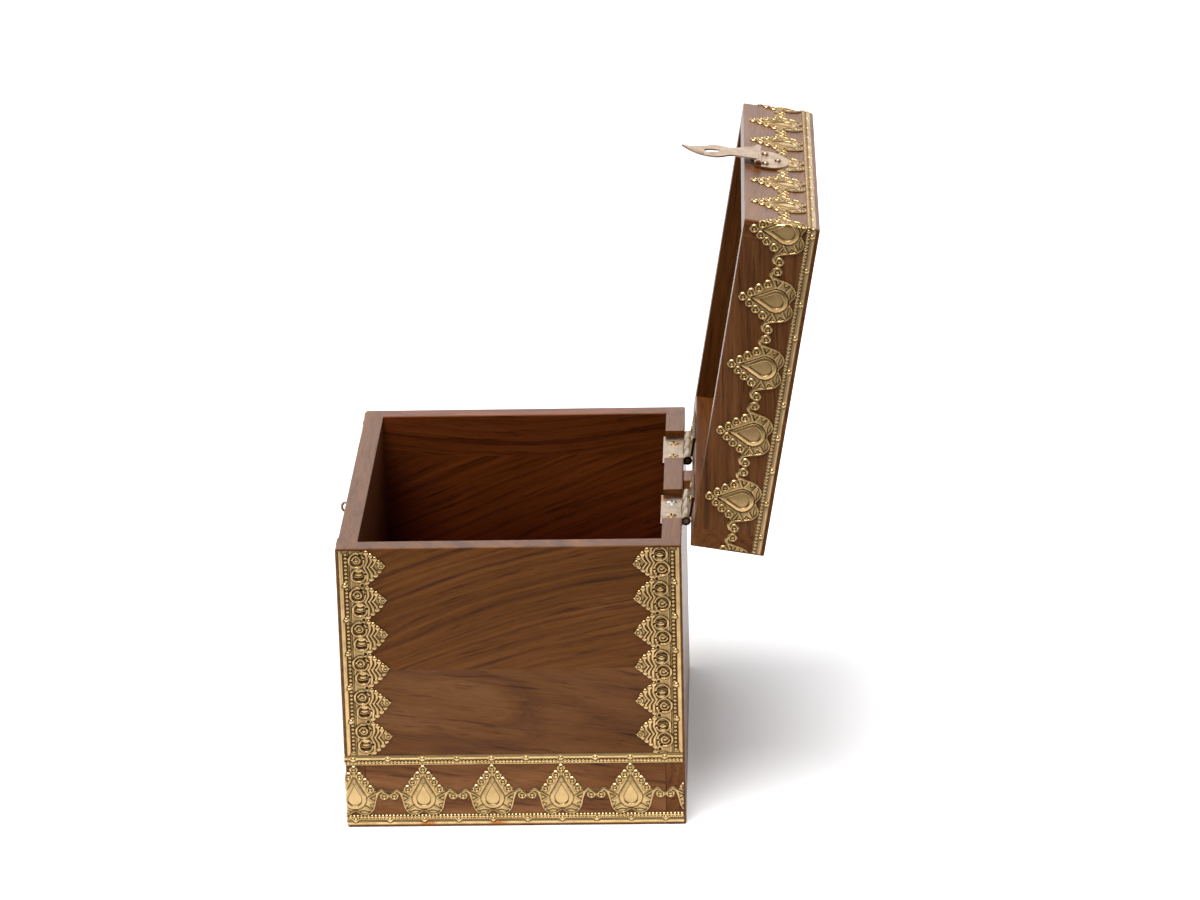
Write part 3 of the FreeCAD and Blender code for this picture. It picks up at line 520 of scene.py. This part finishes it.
def motifFields(u, v):
    m = motif
    base = m["base"]
    a = np.abs(u)
    lobe = smoothLine(m["lobe"])
    heartRight = np.vstack([lobe, np.array(m["flank"], float)])
    heart = np.vstack([heartRight, (heartRight * (-1, 1))[::-1]])
    dHeart = shapeDistance(a, v, heart)
    arm = smoothLine(m["arm"])
    toArm = lineDistance(a, v, arm)
    toLink = np.hypot(a - m["link"][0], v - m["link"][1])
    toNeck = np.hypot(np.clip(m["link"][0] - a, 0, None), v - m["link"][1])
    toRings = [np.hypot(a - cu, v - cv) for cu, cv in m["rings"]]
    edge = np.minimum.reduce([dHeart, toArm - m["armHalf"], toLink - m["linkRadius"], toNeck - m["neck"]]
                             + [r - m["ringRadius"] for r in toRings])

    h = base + m["crown"][1] * ease(-edge / m["crown"][0])
    lobeIn, lobeHalf, lobeRise = m["lobeRidge"]
    rim = ridge(lineDistance(a, v, lobe) - lobeIn, lobeHalf, lobeRise)
    for spoke in m["spokes"]:
        rim = np.maximum(rim, ridge(lineDistance(a, v, np.array(spoke, float)), *m["spokeRidge"]))
    for cut in m["cuts"]:
        rim = rim - ridge(lineDistance(a, v, smoothLine(cut)), *m["cutRidge"])
    h = np.where(dHeart < 0, h - m["sink"][1] * ease(-dHeart / m["sink"][0]) + rim, h)
    h = np.where(dHeart > m["armFrom"], np.maximum(h, base + ridge(toArm, *m["armRidge"])), h)
    circles = [(r, m["ringRadius"], m["ringCrest"]) for r in toRings]
    for r, radius, crest in circles + [(toLink, m["linkRadius"], m["linkCrest"])]:
        ring = ringRelief(r, base, crest)
        h = np.where(r < radius, np.where(r < crest, ring, np.maximum(h, ring)), h)

    dDrop = dropDistance(u, v - m["dropLow"], m["dropRadius"], m["dropHeight"])
    dPlate = dropDistance(u, v - m["plateLow"], m["plateRadius"], m["plateHeight"])
    gapAt, gapHalf, gapRise = m["gapRidge"]
    gap = base - m["gapSink"] + ridge(dDrop - gapAt, gapHalf, gapRise)
    h = np.where(dDrop < m["gapOut"], gap, h)
    rimOut, rimHalf, rimRise = m["plateRim"]
    rollStart, rollRise, rollPower = m["dropRoll"]
    t = np.clip(-dDrop / np.maximum(dPlate - rimOut - dDrop, 1e-6), 0, 1)
    roll = base + rollStart + rollRise * np.sin(np.pi / 2 * t) ** rollPower
    h = np.where(dDrop < 0, roll, h)
    h = h + ridge(dPlate - rimOut, rimHalf, rimRise) * (dDrop < 0)
    plate = base + m["plateRise"] + m["plateCrown"][1] * ease(-dPlate / m["plateCrown"][0])
    inner = ease((rimOut - dPlate) / m["plateFade"])
    return edge, np.where(dDrop < 0, h + (plate - h) * inner, h)


strip = {
    "base": 0.45, "width": 7.0, "overlap": 0.3,
    "roll": (1.9, 1.9, 0.62),  # middle, half width and rise, from the plain edge
    "fine": (4.2, 1.35, 0.42, 0.16), "beads": (5.65, 2.3, 1.10, 0.74),  # middle, pitch, radius and rise
    "lip": (6.85, 0.30, 0.12),
}
lidStrip = {
    "base": 0.45, "width": 5.8, "overlap": 0.3,
    "roll": (1.55, 1.55, 0.60), "fine": (3.15, 1.35, 0.42, 0.16), "beads": (4.45, 2.3, 1.12, 0.76),
    "lip": (5.65, 0.30, 0.12),
}
border = {
    "base": 0.42, "width": 6.8,
    "roll": (5.0, 1.8, 0.66), "beads": (1.95, 2.3, 1.10, 0.74), "lip": (0.40, 0.45, 0.20),
}


def beadRow(t, s, row):
    middle, pitch, radius, rise = row
    along = (s + pitch / 2) % pitch - pitch / 2
    return rise * np.sqrt(np.clip(1 - (along ** 2 + (t - middle) ** 2) / radius ** 2, 0, 1))


def stripRelief(look, s, t):
    rollAt, rollHalf, rollRise = look["roll"]
    lipAt, lipHalf, lipRise = look["lip"]
    h = look["base"] + ridge(t - rollAt, rollHalf, rollRise)
    for row in ("fine", "beads"):
        if row in look:
            h = h + beadRow(t, s, look[row])
    return h + ridge(t - lipAt, lipHalf, lipRise)


def nailFlat(h, distance, level=0.5, seat=1.5, fade=0.9):
    w = ease((distance - seat) / fade)
    return level + (h - level) * w


# Lace leaf: a is the distance from the strip's plain edge, b runs along the strip
lace = {
    "base": 0.40, "edging": 8.6, "reach": 30.3, "spare": 0.4, "bandTo": 6.4, "bandFade": 6.9,
    "roll": (1.7, 1.7, 0.62), "beads": (4.75, 2.594, 1.0, 0.60), "lip": (7.9, 0.5, 0.22),
    "crown": (2.0, 0.06), "sunk": (15.2, 27.5, 0.16),  # from, to and depth
    "upper": ((11.6, 5.0), 5.55, 4.75), "lower": ((12.6, -5.0), 5.15, 4.4),  # centre, outer radius, crest
    "scroll": (1.25, 0.92), "scrollSink": 0.22,
    "coil": (1.0, 0.66), "coilSink": 0.10, "coilTurn": (2.15, 0.55),  # the turn as radius and growth
    "eye": (1.15, 0.66), "shell": (1.2, 0.88), "shellSink": 0.20,
    "holes": [((13.9, 8.7), 0.9), ((16.2, 5.6), 0.7), ((16.9, -4.2), 0.8), ((14.8, 11.64), 0.9),
              ((14.8, -11.64), 0.9)], "holeFloor": 0.05, "holeFade": (0.3, 0.5),
    "slit": [(9.4, -6.7), (12.0, -7.3), (14.8, -6.7)], "slitRidge": (0.75, 0.34), "slitIn": 0.5,
    "domes": [((12.9, -1.7), 1.75), ((12.7, -4.3), 1.6)], "domeStretch": (0.75, 1.25),
    "domeRise": (0.70, 0.05),
    "bumps": [((17.9, 10.1), 1.5), ((20.5, 8.3), 1.5), ((23.2, 6.0), 1.5), ((25.7, 3.9), 1.3),
              ((17.9, -9.8), 1.6), ((20.7, -7.6), 1.6), ((23.5, -5.0), 1.6), ((26.0, -2.4), 1.4)],
    "bumpRise": (0.12, 0.60),
    "ribs": [[(16.4, 0.9), (18.2, 4.8), (18.0, 9.2)], [(18.6, 0.9), (20.8, 4.6), (20.6, 7.6)],
             [(20.9, 0.9), (23.0, 3.8), (23.2, 5.4)], [(16.4, 0.5), (18.2, -3.8), (18.0, -9.0)],
             [(18.8, 0.5), (20.8, -3.4), (20.8, -7.0)], [(21.2, 0.6), (23.2, -2.2), (23.6, -4.4)]],
    "ribRidge": (1.35, 0.88), "ribSink": 0.16,
    "tip": (27.1, 1.5), "tipHalf": 3.1, "tipSlope": 0.7,
    "tipRing": ((27.1, 1.4), 1.75, 1.0), "tipRise": 0.10, "tipRidge": (0.85, 0.70), "tipDome": 0.56,
    "body": [(8.0, 11.8), (17.4, 11.8), (19.0, 10.6), (22.0, 8.3), (25.0, 5.9), (27.6, 3.8), (29.6, 1.2),
             (27.6, -1.8), (25.0, -4.6), (22.0, -7.4), (19.0, -10.2), (17.4, -11.8), (8.0, -11.8)],
}


def leafFields(a, b):
    look = lace
    base = look["base"]
    dBody = shapeDistance(a, b, np.array(look["body"], float))
    toTip = np.abs(a - look["tip"][0]) + np.abs(b - look["tip"][1])
    parts = [dBody, (toTip - look["tipHalf"]) * look["tipSlope"]]
    parts += [np.hypot(a - ca, b - cb) - r for (ca, cb), r in look["bumps"]]
    parts += [np.hypot(a - ca, b - cb) - outer for (ca, cb), outer, crest in (look["upper"], look["lower"])]
    edge = np.minimum.reduce(parts)
    sunkFrom, sunkTo, sunkDepth = look["sunk"]
    h = base + look["crown"][1] * ease(-edge / look["crown"][0])
    h = h - sunkDepth * ((a > sunkFrom) & (a < sunkTo))
    for rib in look["ribs"]:
        toRib = lineDistance(a, b, smoothLine(rib))
        h = np.maximum(h, base - look["ribSink"] + ridge(toRib, *look["ribRidge"]))
    for (ca, cb), r in look["bumps"]:
        low, rise = look["bumpRise"]
        h = np.maximum(h, base + low + rise * dome(np.hypot(a - ca, b - cb), r))

    (ca, cb), outer, crest = look["upper"]
    r = np.hypot(a - ca, b - cb)
    turn = np.arctan2(b - cb, a - ca)
    scroll = base - look["scrollSink"] + ridge(r - crest, *look["scroll"])
    coil = r - look["coilTurn"][0] - look["coilTurn"][1] * turn / np.pi
    scroll = np.maximum(scroll, base - look["coilSink"] + ridge(coil, *look["coil"]))
    scroll = np.maximum(scroll, base + look["eye"][1] * dome(r, look["eye"][0]))
    h = np.where(r < crest, scroll, np.where(r < outer, np.maximum(h, scroll), h))

    (ca, cb), outer, crest = look["lower"]
    r = np.hypot(a - ca, b - cb)
    shell = base - look["shellSink"] + ridge(r - crest, *look["shell"])
    for (da, db), radius in look["domes"]:
        d = np.hypot((a - da) * look["domeStretch"][0], (b - db) * look["domeStretch"][1])
        rise, sink = look["domeRise"]
        shell = np.maximum(shell, base + rise * dome(d, radius) - sink)
    toSlit = lineDistance(a, b, smoothLine(look["slit"]))
    shell = shell - ridge(toSlit, *look["slitRidge"]) * (r < crest - look["slitIn"])
    h = np.where(r < crest, shell, np.where(r < outer, np.maximum(h, shell), h))

    for (ca, cb), r in look["holes"]:
        d = np.hypot(a - ca, b - cb)
        h = h - (h - look["holeFloor"]) * ease((r + look["holeFade"][0] - d) / look["holeFade"][1])
    (ca, cb), crest, tipDome = look["tipRing"]
    r = np.hypot(a - ca, b - cb)
    tip = base + look["tipRise"] + ridge(r - crest, *look["tipRidge"])
    tip = np.maximum(tip, base + look["tipRise"] + look["tipDome"] * dome(r, tipDome))
    return edge, np.where(r < crest, tip, np.where(r < crest + look["tipRidge"][0], np.maximum(tip, h), h))


# Flat sheet from a grid: trimmed to its outline, raised, closed at the back and laid on the box

sheet = {
    "rimHeight": 0.26, "rimFade": (0.55, 0.25), "dents": 0.05,  # millimetres, the fade as width and start
    "probe": 0.02, "pull": 0.8, "room": 0.48,  # the last two in cells, room below half a cell
    "hollowReach": [(0.7, 0.0), (-0.7, 0.0), (0.0, 0.7), (0.0, -0.7),
                    (0.5, 0.5), (-0.5, 0.5), (0.5, -0.5), (-0.5, -0.5)], "hollowGain": 2.6,
    "motifCells": (0.34, 0.34), "stripCells": (0.36, 0.34), "laceCells": (0.34, 0.34),
    "stripWall": 0.3,  # grime on the rim
    "stripLow": (0.74, 0.85), "laceLow": (0.80, 1.1),  # height below which grime gathers, and how fast
}


def closeBack(bm, edges):
    # flat triangles over the foot of the rim, with its openings left free
    verts = list({v for e in edges for v in e.verts})
    number = {v: i for i, v in enumerate(verts)}
    pairs = [(number[e.verts[0]], number[e.verts[1]]) for e in edges]
    made = delaunay_2d_cdt([v.co.xy for v in verts], pairs, [], 2, 1e-7)
    faces, origins = made[2], made[3]
    for face in faces:
        sources = [origins[i] for i in face]
        if all(sources):
            corners = [verts[s[0]] for s in sources]
            if len(set(corners)) == 3 and not bm.faces.get(corners):
                bm.faces.new(corners)


def fillGaps(mask):
    # lone gaps are filled and cells that touch only at a corner are joined,
    # so that the border never meets itself
    while True:
        inner = mask[1:-1, 1:-1]
        inner |= mask[:-2, 1:-1] & mask[2:, 1:-1] & mask[1:-1, :-2] & mask[1:-1, 2:]
        quarters = mask[:-1, :-1], mask[1:, :-1], mask[:-1, 1:], mask[1:, 1:]
        a, b, c, d = quarters
        cross = (a & d & ~b & ~c) | (b & c & ~a & ~d)
        if not cross.any():
            return mask
        for quarter in quarters:
            quarter |= cross


def stampSheet(name, span, cells, fields, lay, folds=(), wallShade=0.9, low=(0.62, 0.55)):
    s0, s1, v0, v1 = span
    bm = bmesh.new()
    middle = Matrix.Translation(((s0 + s1) / 2, (v0 + v1) / 2, 0))
    size = Matrix.Diagonal((s1 - s0, v1 - v0, 1, 1))
    columns, rows = round((s1 - s0) / cells[0]), round((v1 - v0) / cells[1])
    bmesh.ops.create_grid(bm, x_segments=columns, y_segments=rows, size=0.5, matrix=middle @ size)
    bm.faces.ensure_lookup_table()
    centres = np.array([f.calc_center_median()[:2] for f in bm.faces])
    column = ((centres[:, 0] - s0) / (s1 - s0) * columns).astype(int)
    row = ((centres[:, 1] - v0) / (v1 - v0) * rows).astype(int)
    mask = np.zeros((columns, rows), bool)
    mask[column, row] = fields(centres[:, 0], centres[:, 1])[0] < 0
    keep = fillGaps(mask)[column, row]
    bmesh.ops.delete(bm, geom=[f for f, k in zip(bm.faces, keep) if not k], context="FACES")
    where = np.array([v.co[:2] for v in bm.verts])
    home = where.copy()
    outer = np.array([v.is_boundary for v in bm.verts])
    step = 0.5 * min(cells)
    onSpan = (np.minimum(np.abs(where[:, 0] - s0), np.abs(where[:, 0] - s1)) < step) \
        | (np.minimum(np.abs(where[:, 1] - v0), np.abs(where[:, 1] - v1)) < step)
    probe = sheet["probe"]
    most = sheet["pull"] * max(cells)
    for _ in range(2):  # draw the stepped border onto the outline
        s, v = where[outer].T
        d = fields(s, v)[0]
        gs = (fields(s + probe, v)[0] - d) / probe
        gv = (fields(s, v + probe)[0] - d) / probe
        pull = np.clip(d, -most, most) / np.maximum(gs * gs + gv * gv, 0.25)
        pull = np.where(onSpan[outer], 0, pull)
        where[outer] = np.stack([s - pull * gs, v - pull * gv], axis=1)
    room = sheet["room"] * np.array(cells)
    where = home + np.clip(where - home, -room, room)
    s, v = where.T
    edge, h = fields(s, v)
    around = sheet["hollowReach"]
    near = sum(fields(s + ds, v + dv)[1] for ds, dv in around) / len(around)
    hollow = np.clip((near - h) * sheet["hollowGain"] + (low[0] - h) * low[1], 0, 1)
    fadeWidth, fadeStart = sheet["rimFade"]
    rimHeight = sheet["rimHeight"]
    h = rimHeight + (h - rimHeight) * ease(-edge / fadeWidth + fadeStart) + sheet["dents"] * dents(s, v)
    shade = bm.verts.layers.float.new("hollow")
    for vert, ps, pv, ph, deep in zip(bm.verts, s, v, h, hollow):
        vert.co = (ps, pv, ph)
        vert[shade] = deep
    rim = [e for e in bm.edges if e.is_boundary]
    wall = bmesh.ops.extrude_edge_only(bm, edges=rim)["geom"]
    foot = [g for g in wall if isinstance(g, bmesh.types.BMEdge) and g.is_boundary]
    for vert in [g for g in wall if isinstance(g, bmesh.types.BMVert)]:
        vert.co.z = 0.0
        vert[shade] = wallShade
    for crease in rim + foot:
        crease.smooth = False
    closeBack(bm, foot)
    for fold in folds:  # the back bends where the front does
        flat = [f for f in bm.faces if len(f.verts) == 3]
        geom = list({g for f in flat for g in (*f.verts, *f.edges)}) + flat
        bmesh.ops.bisect_plane(bm, geom=geom, dist=1e-5, plane_co=(fold, 0, 0), plane_no=(1, 0, 0))
    where = np.array([v.co for v in bm.verts])
    for vert, co in zip(bm.verts, lay(*where.T)):
        vert.co = co * mm
    bmesh.ops.recalc_face_normals(bm, faces=bm.faces)
    if bm.calc_volume(signed=True) < 0:  # the shell came out with its inside outwards
        bmesh.ops.reverse_faces(bm, faces=bm.faces)
    mesh = bpy.data.meshes.new(name)
    bm.to_mesh(mesh)
    bm.free()
    mesh.shade_smooth()
    piece = bpy.data.objects.new(name, mesh)
    scene.collection.objects.link(piece)
    print("stamped", name, len(mesh.polygons), "faces")
    return piece


def finishPiece(piece, material, body, slot, *stoodFor):
    piece.data.materials.append(material)
    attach(piece, body)
    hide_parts(*stoodFor)


trim = {"cornerRound": 1.2, "endMargin": 1.5, "plinthLow": 1.4, "borderLow": 43.2, "lidStripFromTop": 2.3,
        "lidHeight": 46.5, "nailPitch": 22.0, "plinthNail": 4.69, "borderNail": 47.0, "lidNailFromTop": 4.04,
        "motifReach": 35.0, "motifTuck": 0.2, "parting": 110.0}  # the bands are parted between two motifs
lidTop = rimZ + trim["lidHeight"]
sideEnd = halfWidth + (backY - frontY) - trim["endMargin"]
foldPlaces = [side * (halfWidth + share * trim["cornerRound"]) for side in (-1, 1)
              for share in (-1.0, -0.5, 0.0, 0.5, 1.0)]


def roundTheBox(s, v, h):
    # the flat sheet lies on the left, front and right faces, bent round the two front corners
    r = trim["cornerRound"]
    side = np.sign(s)
    a = np.abs(s)
    turn = np.clip((a - halfWidth + r) / (2 * r), 0, 1) * np.pi / 2
    x = np.minimum(a, halfWidth - r) + (r + h) * np.sin(turn)
    y = frontY + r - (r + h) * np.cos(turn) + np.clip(a - halfWidth - r, 0, None)
    return np.stack([side * x, y, v], axis=1)


def openedRound(s, v, h):
    at = roundTheBox(s, v, h) * mm
    turn = np.array(openLid)
    return (at @ turn[:3, :3].T + turn[:3, 3]) / mm


def nailDistance(s, v, height):
    p = trim["nailPitch"]
    return np.hypot((s + p / 2) % p - p / 2, v - height)


def plinthFields(s, v):
    t = v - trim["plinthLow"]
    h = nailFlat(stripRelief(strip, s, t), nailDistance(s, v, trim["plinthNail"]))
    return np.maximum(-t, t - strip["width"]), h


def borderFields(s, v):
    t = v - trim["borderLow"]
    h = nailFlat(stripRelief(border, s, t), nailDistance(s, v, trim["borderNail"]))
    return np.maximum(-t, t - border["width"]), h


lidStripTop = lidTop - trim["lidStripFromTop"]


def lidStripFields(s, v):
    t = lidStripTop - v
    h = nailFlat(stripRelief(lidStrip, s, t), nailDistance(s, v, lidTop - trim["lidNailFromTop"]))
    return np.maximum(-t, t - lidStrip["width"]), h


plinthRoot = trim["plinthLow"] + strip["width"] - strip["overlap"]
lidRoot = lidStripTop - lidStrip["width"] + lidStrip["overlap"]
haspFlat = {"half": 18.0, "reach": 28.5, "height": 0.45}  # the motif under the hasp plate is hammered flat


def motifRow(s, up):
    p = motif["pitch"]
    return motifFields((s + p / 2) % p - p / 2, up)


def plinthMotifFields(s, v):
    return motifRow(s, v - plinthRoot)


def lidMotifFields(s, v):
    edge, h = motifRow(s, lidRoot - v)
    under = (np.abs(s) < haspFlat["half"]) & (v < rimZ + haspFlat["reach"])
    return edge, np.where(under, np.minimum(h, haspFlat["height"]), h)


parting = trim["parting"]
bandParts = [("left", -sideEnd, -parting), ("front", -parting, parting), ("right", parting, sideEnd)]
bands = [
    ("base_motifs", plinthRoot - trim["motifTuck"], plinthRoot + trim["motifReach"], plinthMotifFields,
     roundTheBox, "box", "stamped", "base_motif_band"),
    ("lid_motifs", lidRoot - trim["motifReach"], lidRoot + trim["motifTuck"], lidMotifFields,
     openedRound, "lid", "worn", "lid_motif_band"),
]
strips = [
    ("base_strip", trim["plinthLow"], trim["plinthLow"] + strip["width"], plinthFields,
     roundTheBox, "box", "stained", "base_motif_band"),
    ("border_strip", trim["borderLow"], trim["borderLow"] + border["width"], borderFields,
     roundTheBox, "box", "stained", "base_border_strip"),
    ("lid_strip", lidStripTop - lidStrip["width"], lidStripTop, lidStripFields,
     openedRound, "lid", "dulled", "lid_motif_band"),
]
for name, low, high, fields, lay, body, finish, node in bands:
    for side, start, end in bandParts:
        folds = [f for f in foldPlaces if start < f < end]
        span = (start, end, low, high)
        piece = stampSheet(name + "_" + side, span, sheet["motifCells"], fields, lay, folds)
        finishPiece(piece, metals[finish], body, "brass_sheet", node)
for name, low, high, fields, lay, body, finish, node in strips:
    piece = stampSheet(name, (-sideEnd, sideEnd, low, high), sheet["stripCells"], fields, lay, foldPlaces,
                       sheet["stripWall"], sheet["stripLow"])
    finishPiece(piece, metals[finish], body, "brass_sheet", node)


# Corner lace: the same stamped edging on each side of a panel, one of the two turned end for end

laceRun = {"low": 50.2, "high": 189.9, "leaves": 6, "margin": 1.0, "nailInset": 3.78, "turnedLift": 2.4}
leafPitch = (laceRun["high"] - laceRun["low"]) / laceRun["leaves"]


def laceFields(a, z, lift=0.0):
    up = z - laceRun["low"]
    b = (up + lift) % leafPitch - leafPitch / 2
    edge, h = leafFields(a, b)
    strap = np.maximum(-a, a - lace["edging"])
    band = stripRelief(lace, up, a)
    leaf = np.where(edge > 0, band, np.maximum(h, band * (a < lace["bandFade"])))
    h = np.where(a < lace["bandTo"], band, leaf)
    toNail = np.hypot(a - laceRun["nailInset"], (up + leafPitch / 2) % leafPitch - leafPitch / 2)
    return np.minimum(edge, strap), nailFlat(h, toNail)


def laceLay(corner, along, outward, turned):
    # corner lies under the strip's plain edge, and along runs from there across the strip
    def lay(a, z, h):
        up = laceRun["low"] + laceRun["high"] - z if turned else z
        at = np.outer(a, along) + np.outer(h, outward) + np.array(corner)
        at[:, 2] += up
        return at
    return lay


edgeGap = laceRun["margin"]
lacePlaces = {
    "right_front_lace": ((halfWidth, frontY + edgeGap, 0), (0, 1, 0), (1, 0, 0), False),
    "right_back_lace": ((halfWidth, backY - edgeGap, 0), (0, -1, 0), (1, 0, 0), True),
    "left_front_lace": ((-halfWidth, frontY + edgeGap, 0), (0, 1, 0), (-1, 0, 0), True),
    "left_back_lace": ((-halfWidth, backY - edgeGap, 0), (0, -1, 0), (-1, 0, 0), False),
    "front_left_lace": ((-halfWidth + edgeGap, frontY, 0), (1, 0, 0), (0, -1, 0), False),
    "front_right_lace": ((halfWidth - edgeGap, frontY, 0), (-1, 0, 0), (0, -1, 0), True),
}
laceSpan = (0, lace["reach"] + lace["spare"], laceRun["low"], laceRun["high"])
for name, (corner, along, outward, turned) in lacePlaces.items():
    piece = stampSheet("stamped_" + name, laceSpan, sheet["laceCells"],
                       lambda a, z, lift=laceRun["turnedLift"] * turned: laceFields(a, z, lift),
                       laceLay(corner, along, outward, turned), low=sheet["laceLow"])
    finishPiece(piece, metals["lace"], "box", "brass_sheet", name)


# Eased edges on the leaves, the hasp and the stop block, in millimetres

easedNodes = {"left_hinge_base_leaf": 0.25, "right_hinge_base_leaf": 0.25, "left_hinge_lid_leaf": 0.25,
              "right_hinge_lid_leaf": 0.25, "hasp_plate": 0.25, "hasp_strap": 0.25, "lid_stop_block": 0.6}
for node, width in easedNodes.items():
    part = frame["nodes"][node]
    weld = part.modifiers.new("weld", "WELD")
    weld.merge_threshold = 1e-6
    flat = part.modifiers.new("flat", "DECIMATE")
    flat.decimate_type = "DISSOLVE"
    flat.angle_limit = math.radians(1.0)
    soft = part.modifiers.new("eased", "BEVEL")
    soft.width = width * mm
    soft.segments = 2
    soft.limit_method = "ANGLE"
    soft.angle_limit = math.radians(40)
    soft.harden_normals = True
print("edges eased:", len(easedNodes))


# Stage, light and camera

stage = {"floorSize": 30.0, "white": (0.92, 0.92, 0.925), "paintedShadeGrey": (0.26, 0.26, 0.265), "fade": (0.31, 0.66),
         "roughness": 0.9, "specular": 0.1}
studio = {"overhead": (0.30, 0.85, 0.0, 0.55), "backdrop": (0.15, -0.8, 0.0, 1.40),
          "backdropTop": (0.48, 0.70, 1.0, 0.0), "level": 0.10}
keySun = {"way": (-0.28, 0.11, -1.0), "energy": 3.8, "spread": 36.0}
view = {"place": (2.76353, 0.15158, 1.23653), "turn": (69.586, 1.316, 91.527), "lens": 136.55, "sensor": 36.0,
        "clipEnd": 100.0}


def makeFloor():
    bm = bmesh.new()
    bmesh.ops.create_grid(bm, x_segments=4, y_segments=4, size=stage["floorSize"] / 2)
    mesh = bpy.data.meshes.new("floor")
    bm.to_mesh(mesh)
    bm.free()
    floor = bpy.data.objects.new("floor", mesh)
    scene.collection.objects.link(floor)
    material, tree, shader = newMaterial("white_floor")
    place = addNode(tree, "ShaderNodeTexCoord").outputs["Object"]
    toward = splitPlace(tree, place)["X"]  # painted shade: the floor greys on the side where the camera stands, in place of the unlit room there
    fade = addNode(tree, "ShaderNodeMapRange", {0: toward, 1: stage["fade"][0], 2: stage["fade"][1]},
                   interpolation_type="SMOOTHSTEP").outputs[0]
    colour = mixColour(tree, fade, (*stage["white"], 1), (*stage["paintedShadeGrey"], 1))
    tree.links.new(colour, shader.inputs["Base Color"])
    shader.inputs["Roughness"].default_value = stage["roughness"]
    shader.inputs["Specular IOR Level"].default_value = stage["specular"]
    mesh.materials.append(material)


def makeWorld():
    world = bpy.data.worlds.new("studio")
    world.use_nodes = True
    tree = world.node_tree
    ground = next(n for n in tree.nodes if n.type == "BACKGROUND")
    way = splitPlace(tree, addNode(tree, "ShaderNodeTexCoord").outputs["Generated"])
    overhead = rangeNode(tree, way["Z"], *studio["overhead"])
    backdrop = mathNode(tree, "MULTIPLY", rangeNode(tree, way["X"], *studio["backdrop"]),
                        rangeNode(tree, way["Z"], *studio["backdropTop"]))
    level = mathNode(tree, "ADD", mathNode(tree, "ADD", overhead, backdrop), studio["level"])
    tree.links.new(level, ground.inputs["Strength"])
    ground.inputs["Color"].default_value = (1.0, 1.0, 1.0, 1)
    scene.world = world


def makeSun():
    lamp = bpy.data.lights.new("key", "SUN")
    lamp.energy = keySun["energy"]
    lamp.angle = math.radians(keySun["spread"])
    sun = bpy.data.objects.new("key", lamp)
    sun.rotation_euler = Vector(keySun["way"]).to_track_quat("-Z", "Y").to_euler()
    scene.collection.objects.link(sun)


def makeCamera():
    lens = bpy.data.cameras.new("camera")
    lens.lens = view["lens"]
    lens.sensor_width = view["sensor"]
    lens.clip_end = view["clipEnd"]
    camera = bpy.data.objects.new("camera", lens)
    camera.location = view["place"]
    camera.rotation_euler = Euler([math.radians(a) for a in view["turn"]])
    scene.collection.objects.link(camera)
    scene.camera = camera


makeFloor()
makeWorld()
makeSun()
makeCamera()
print("stage ready")
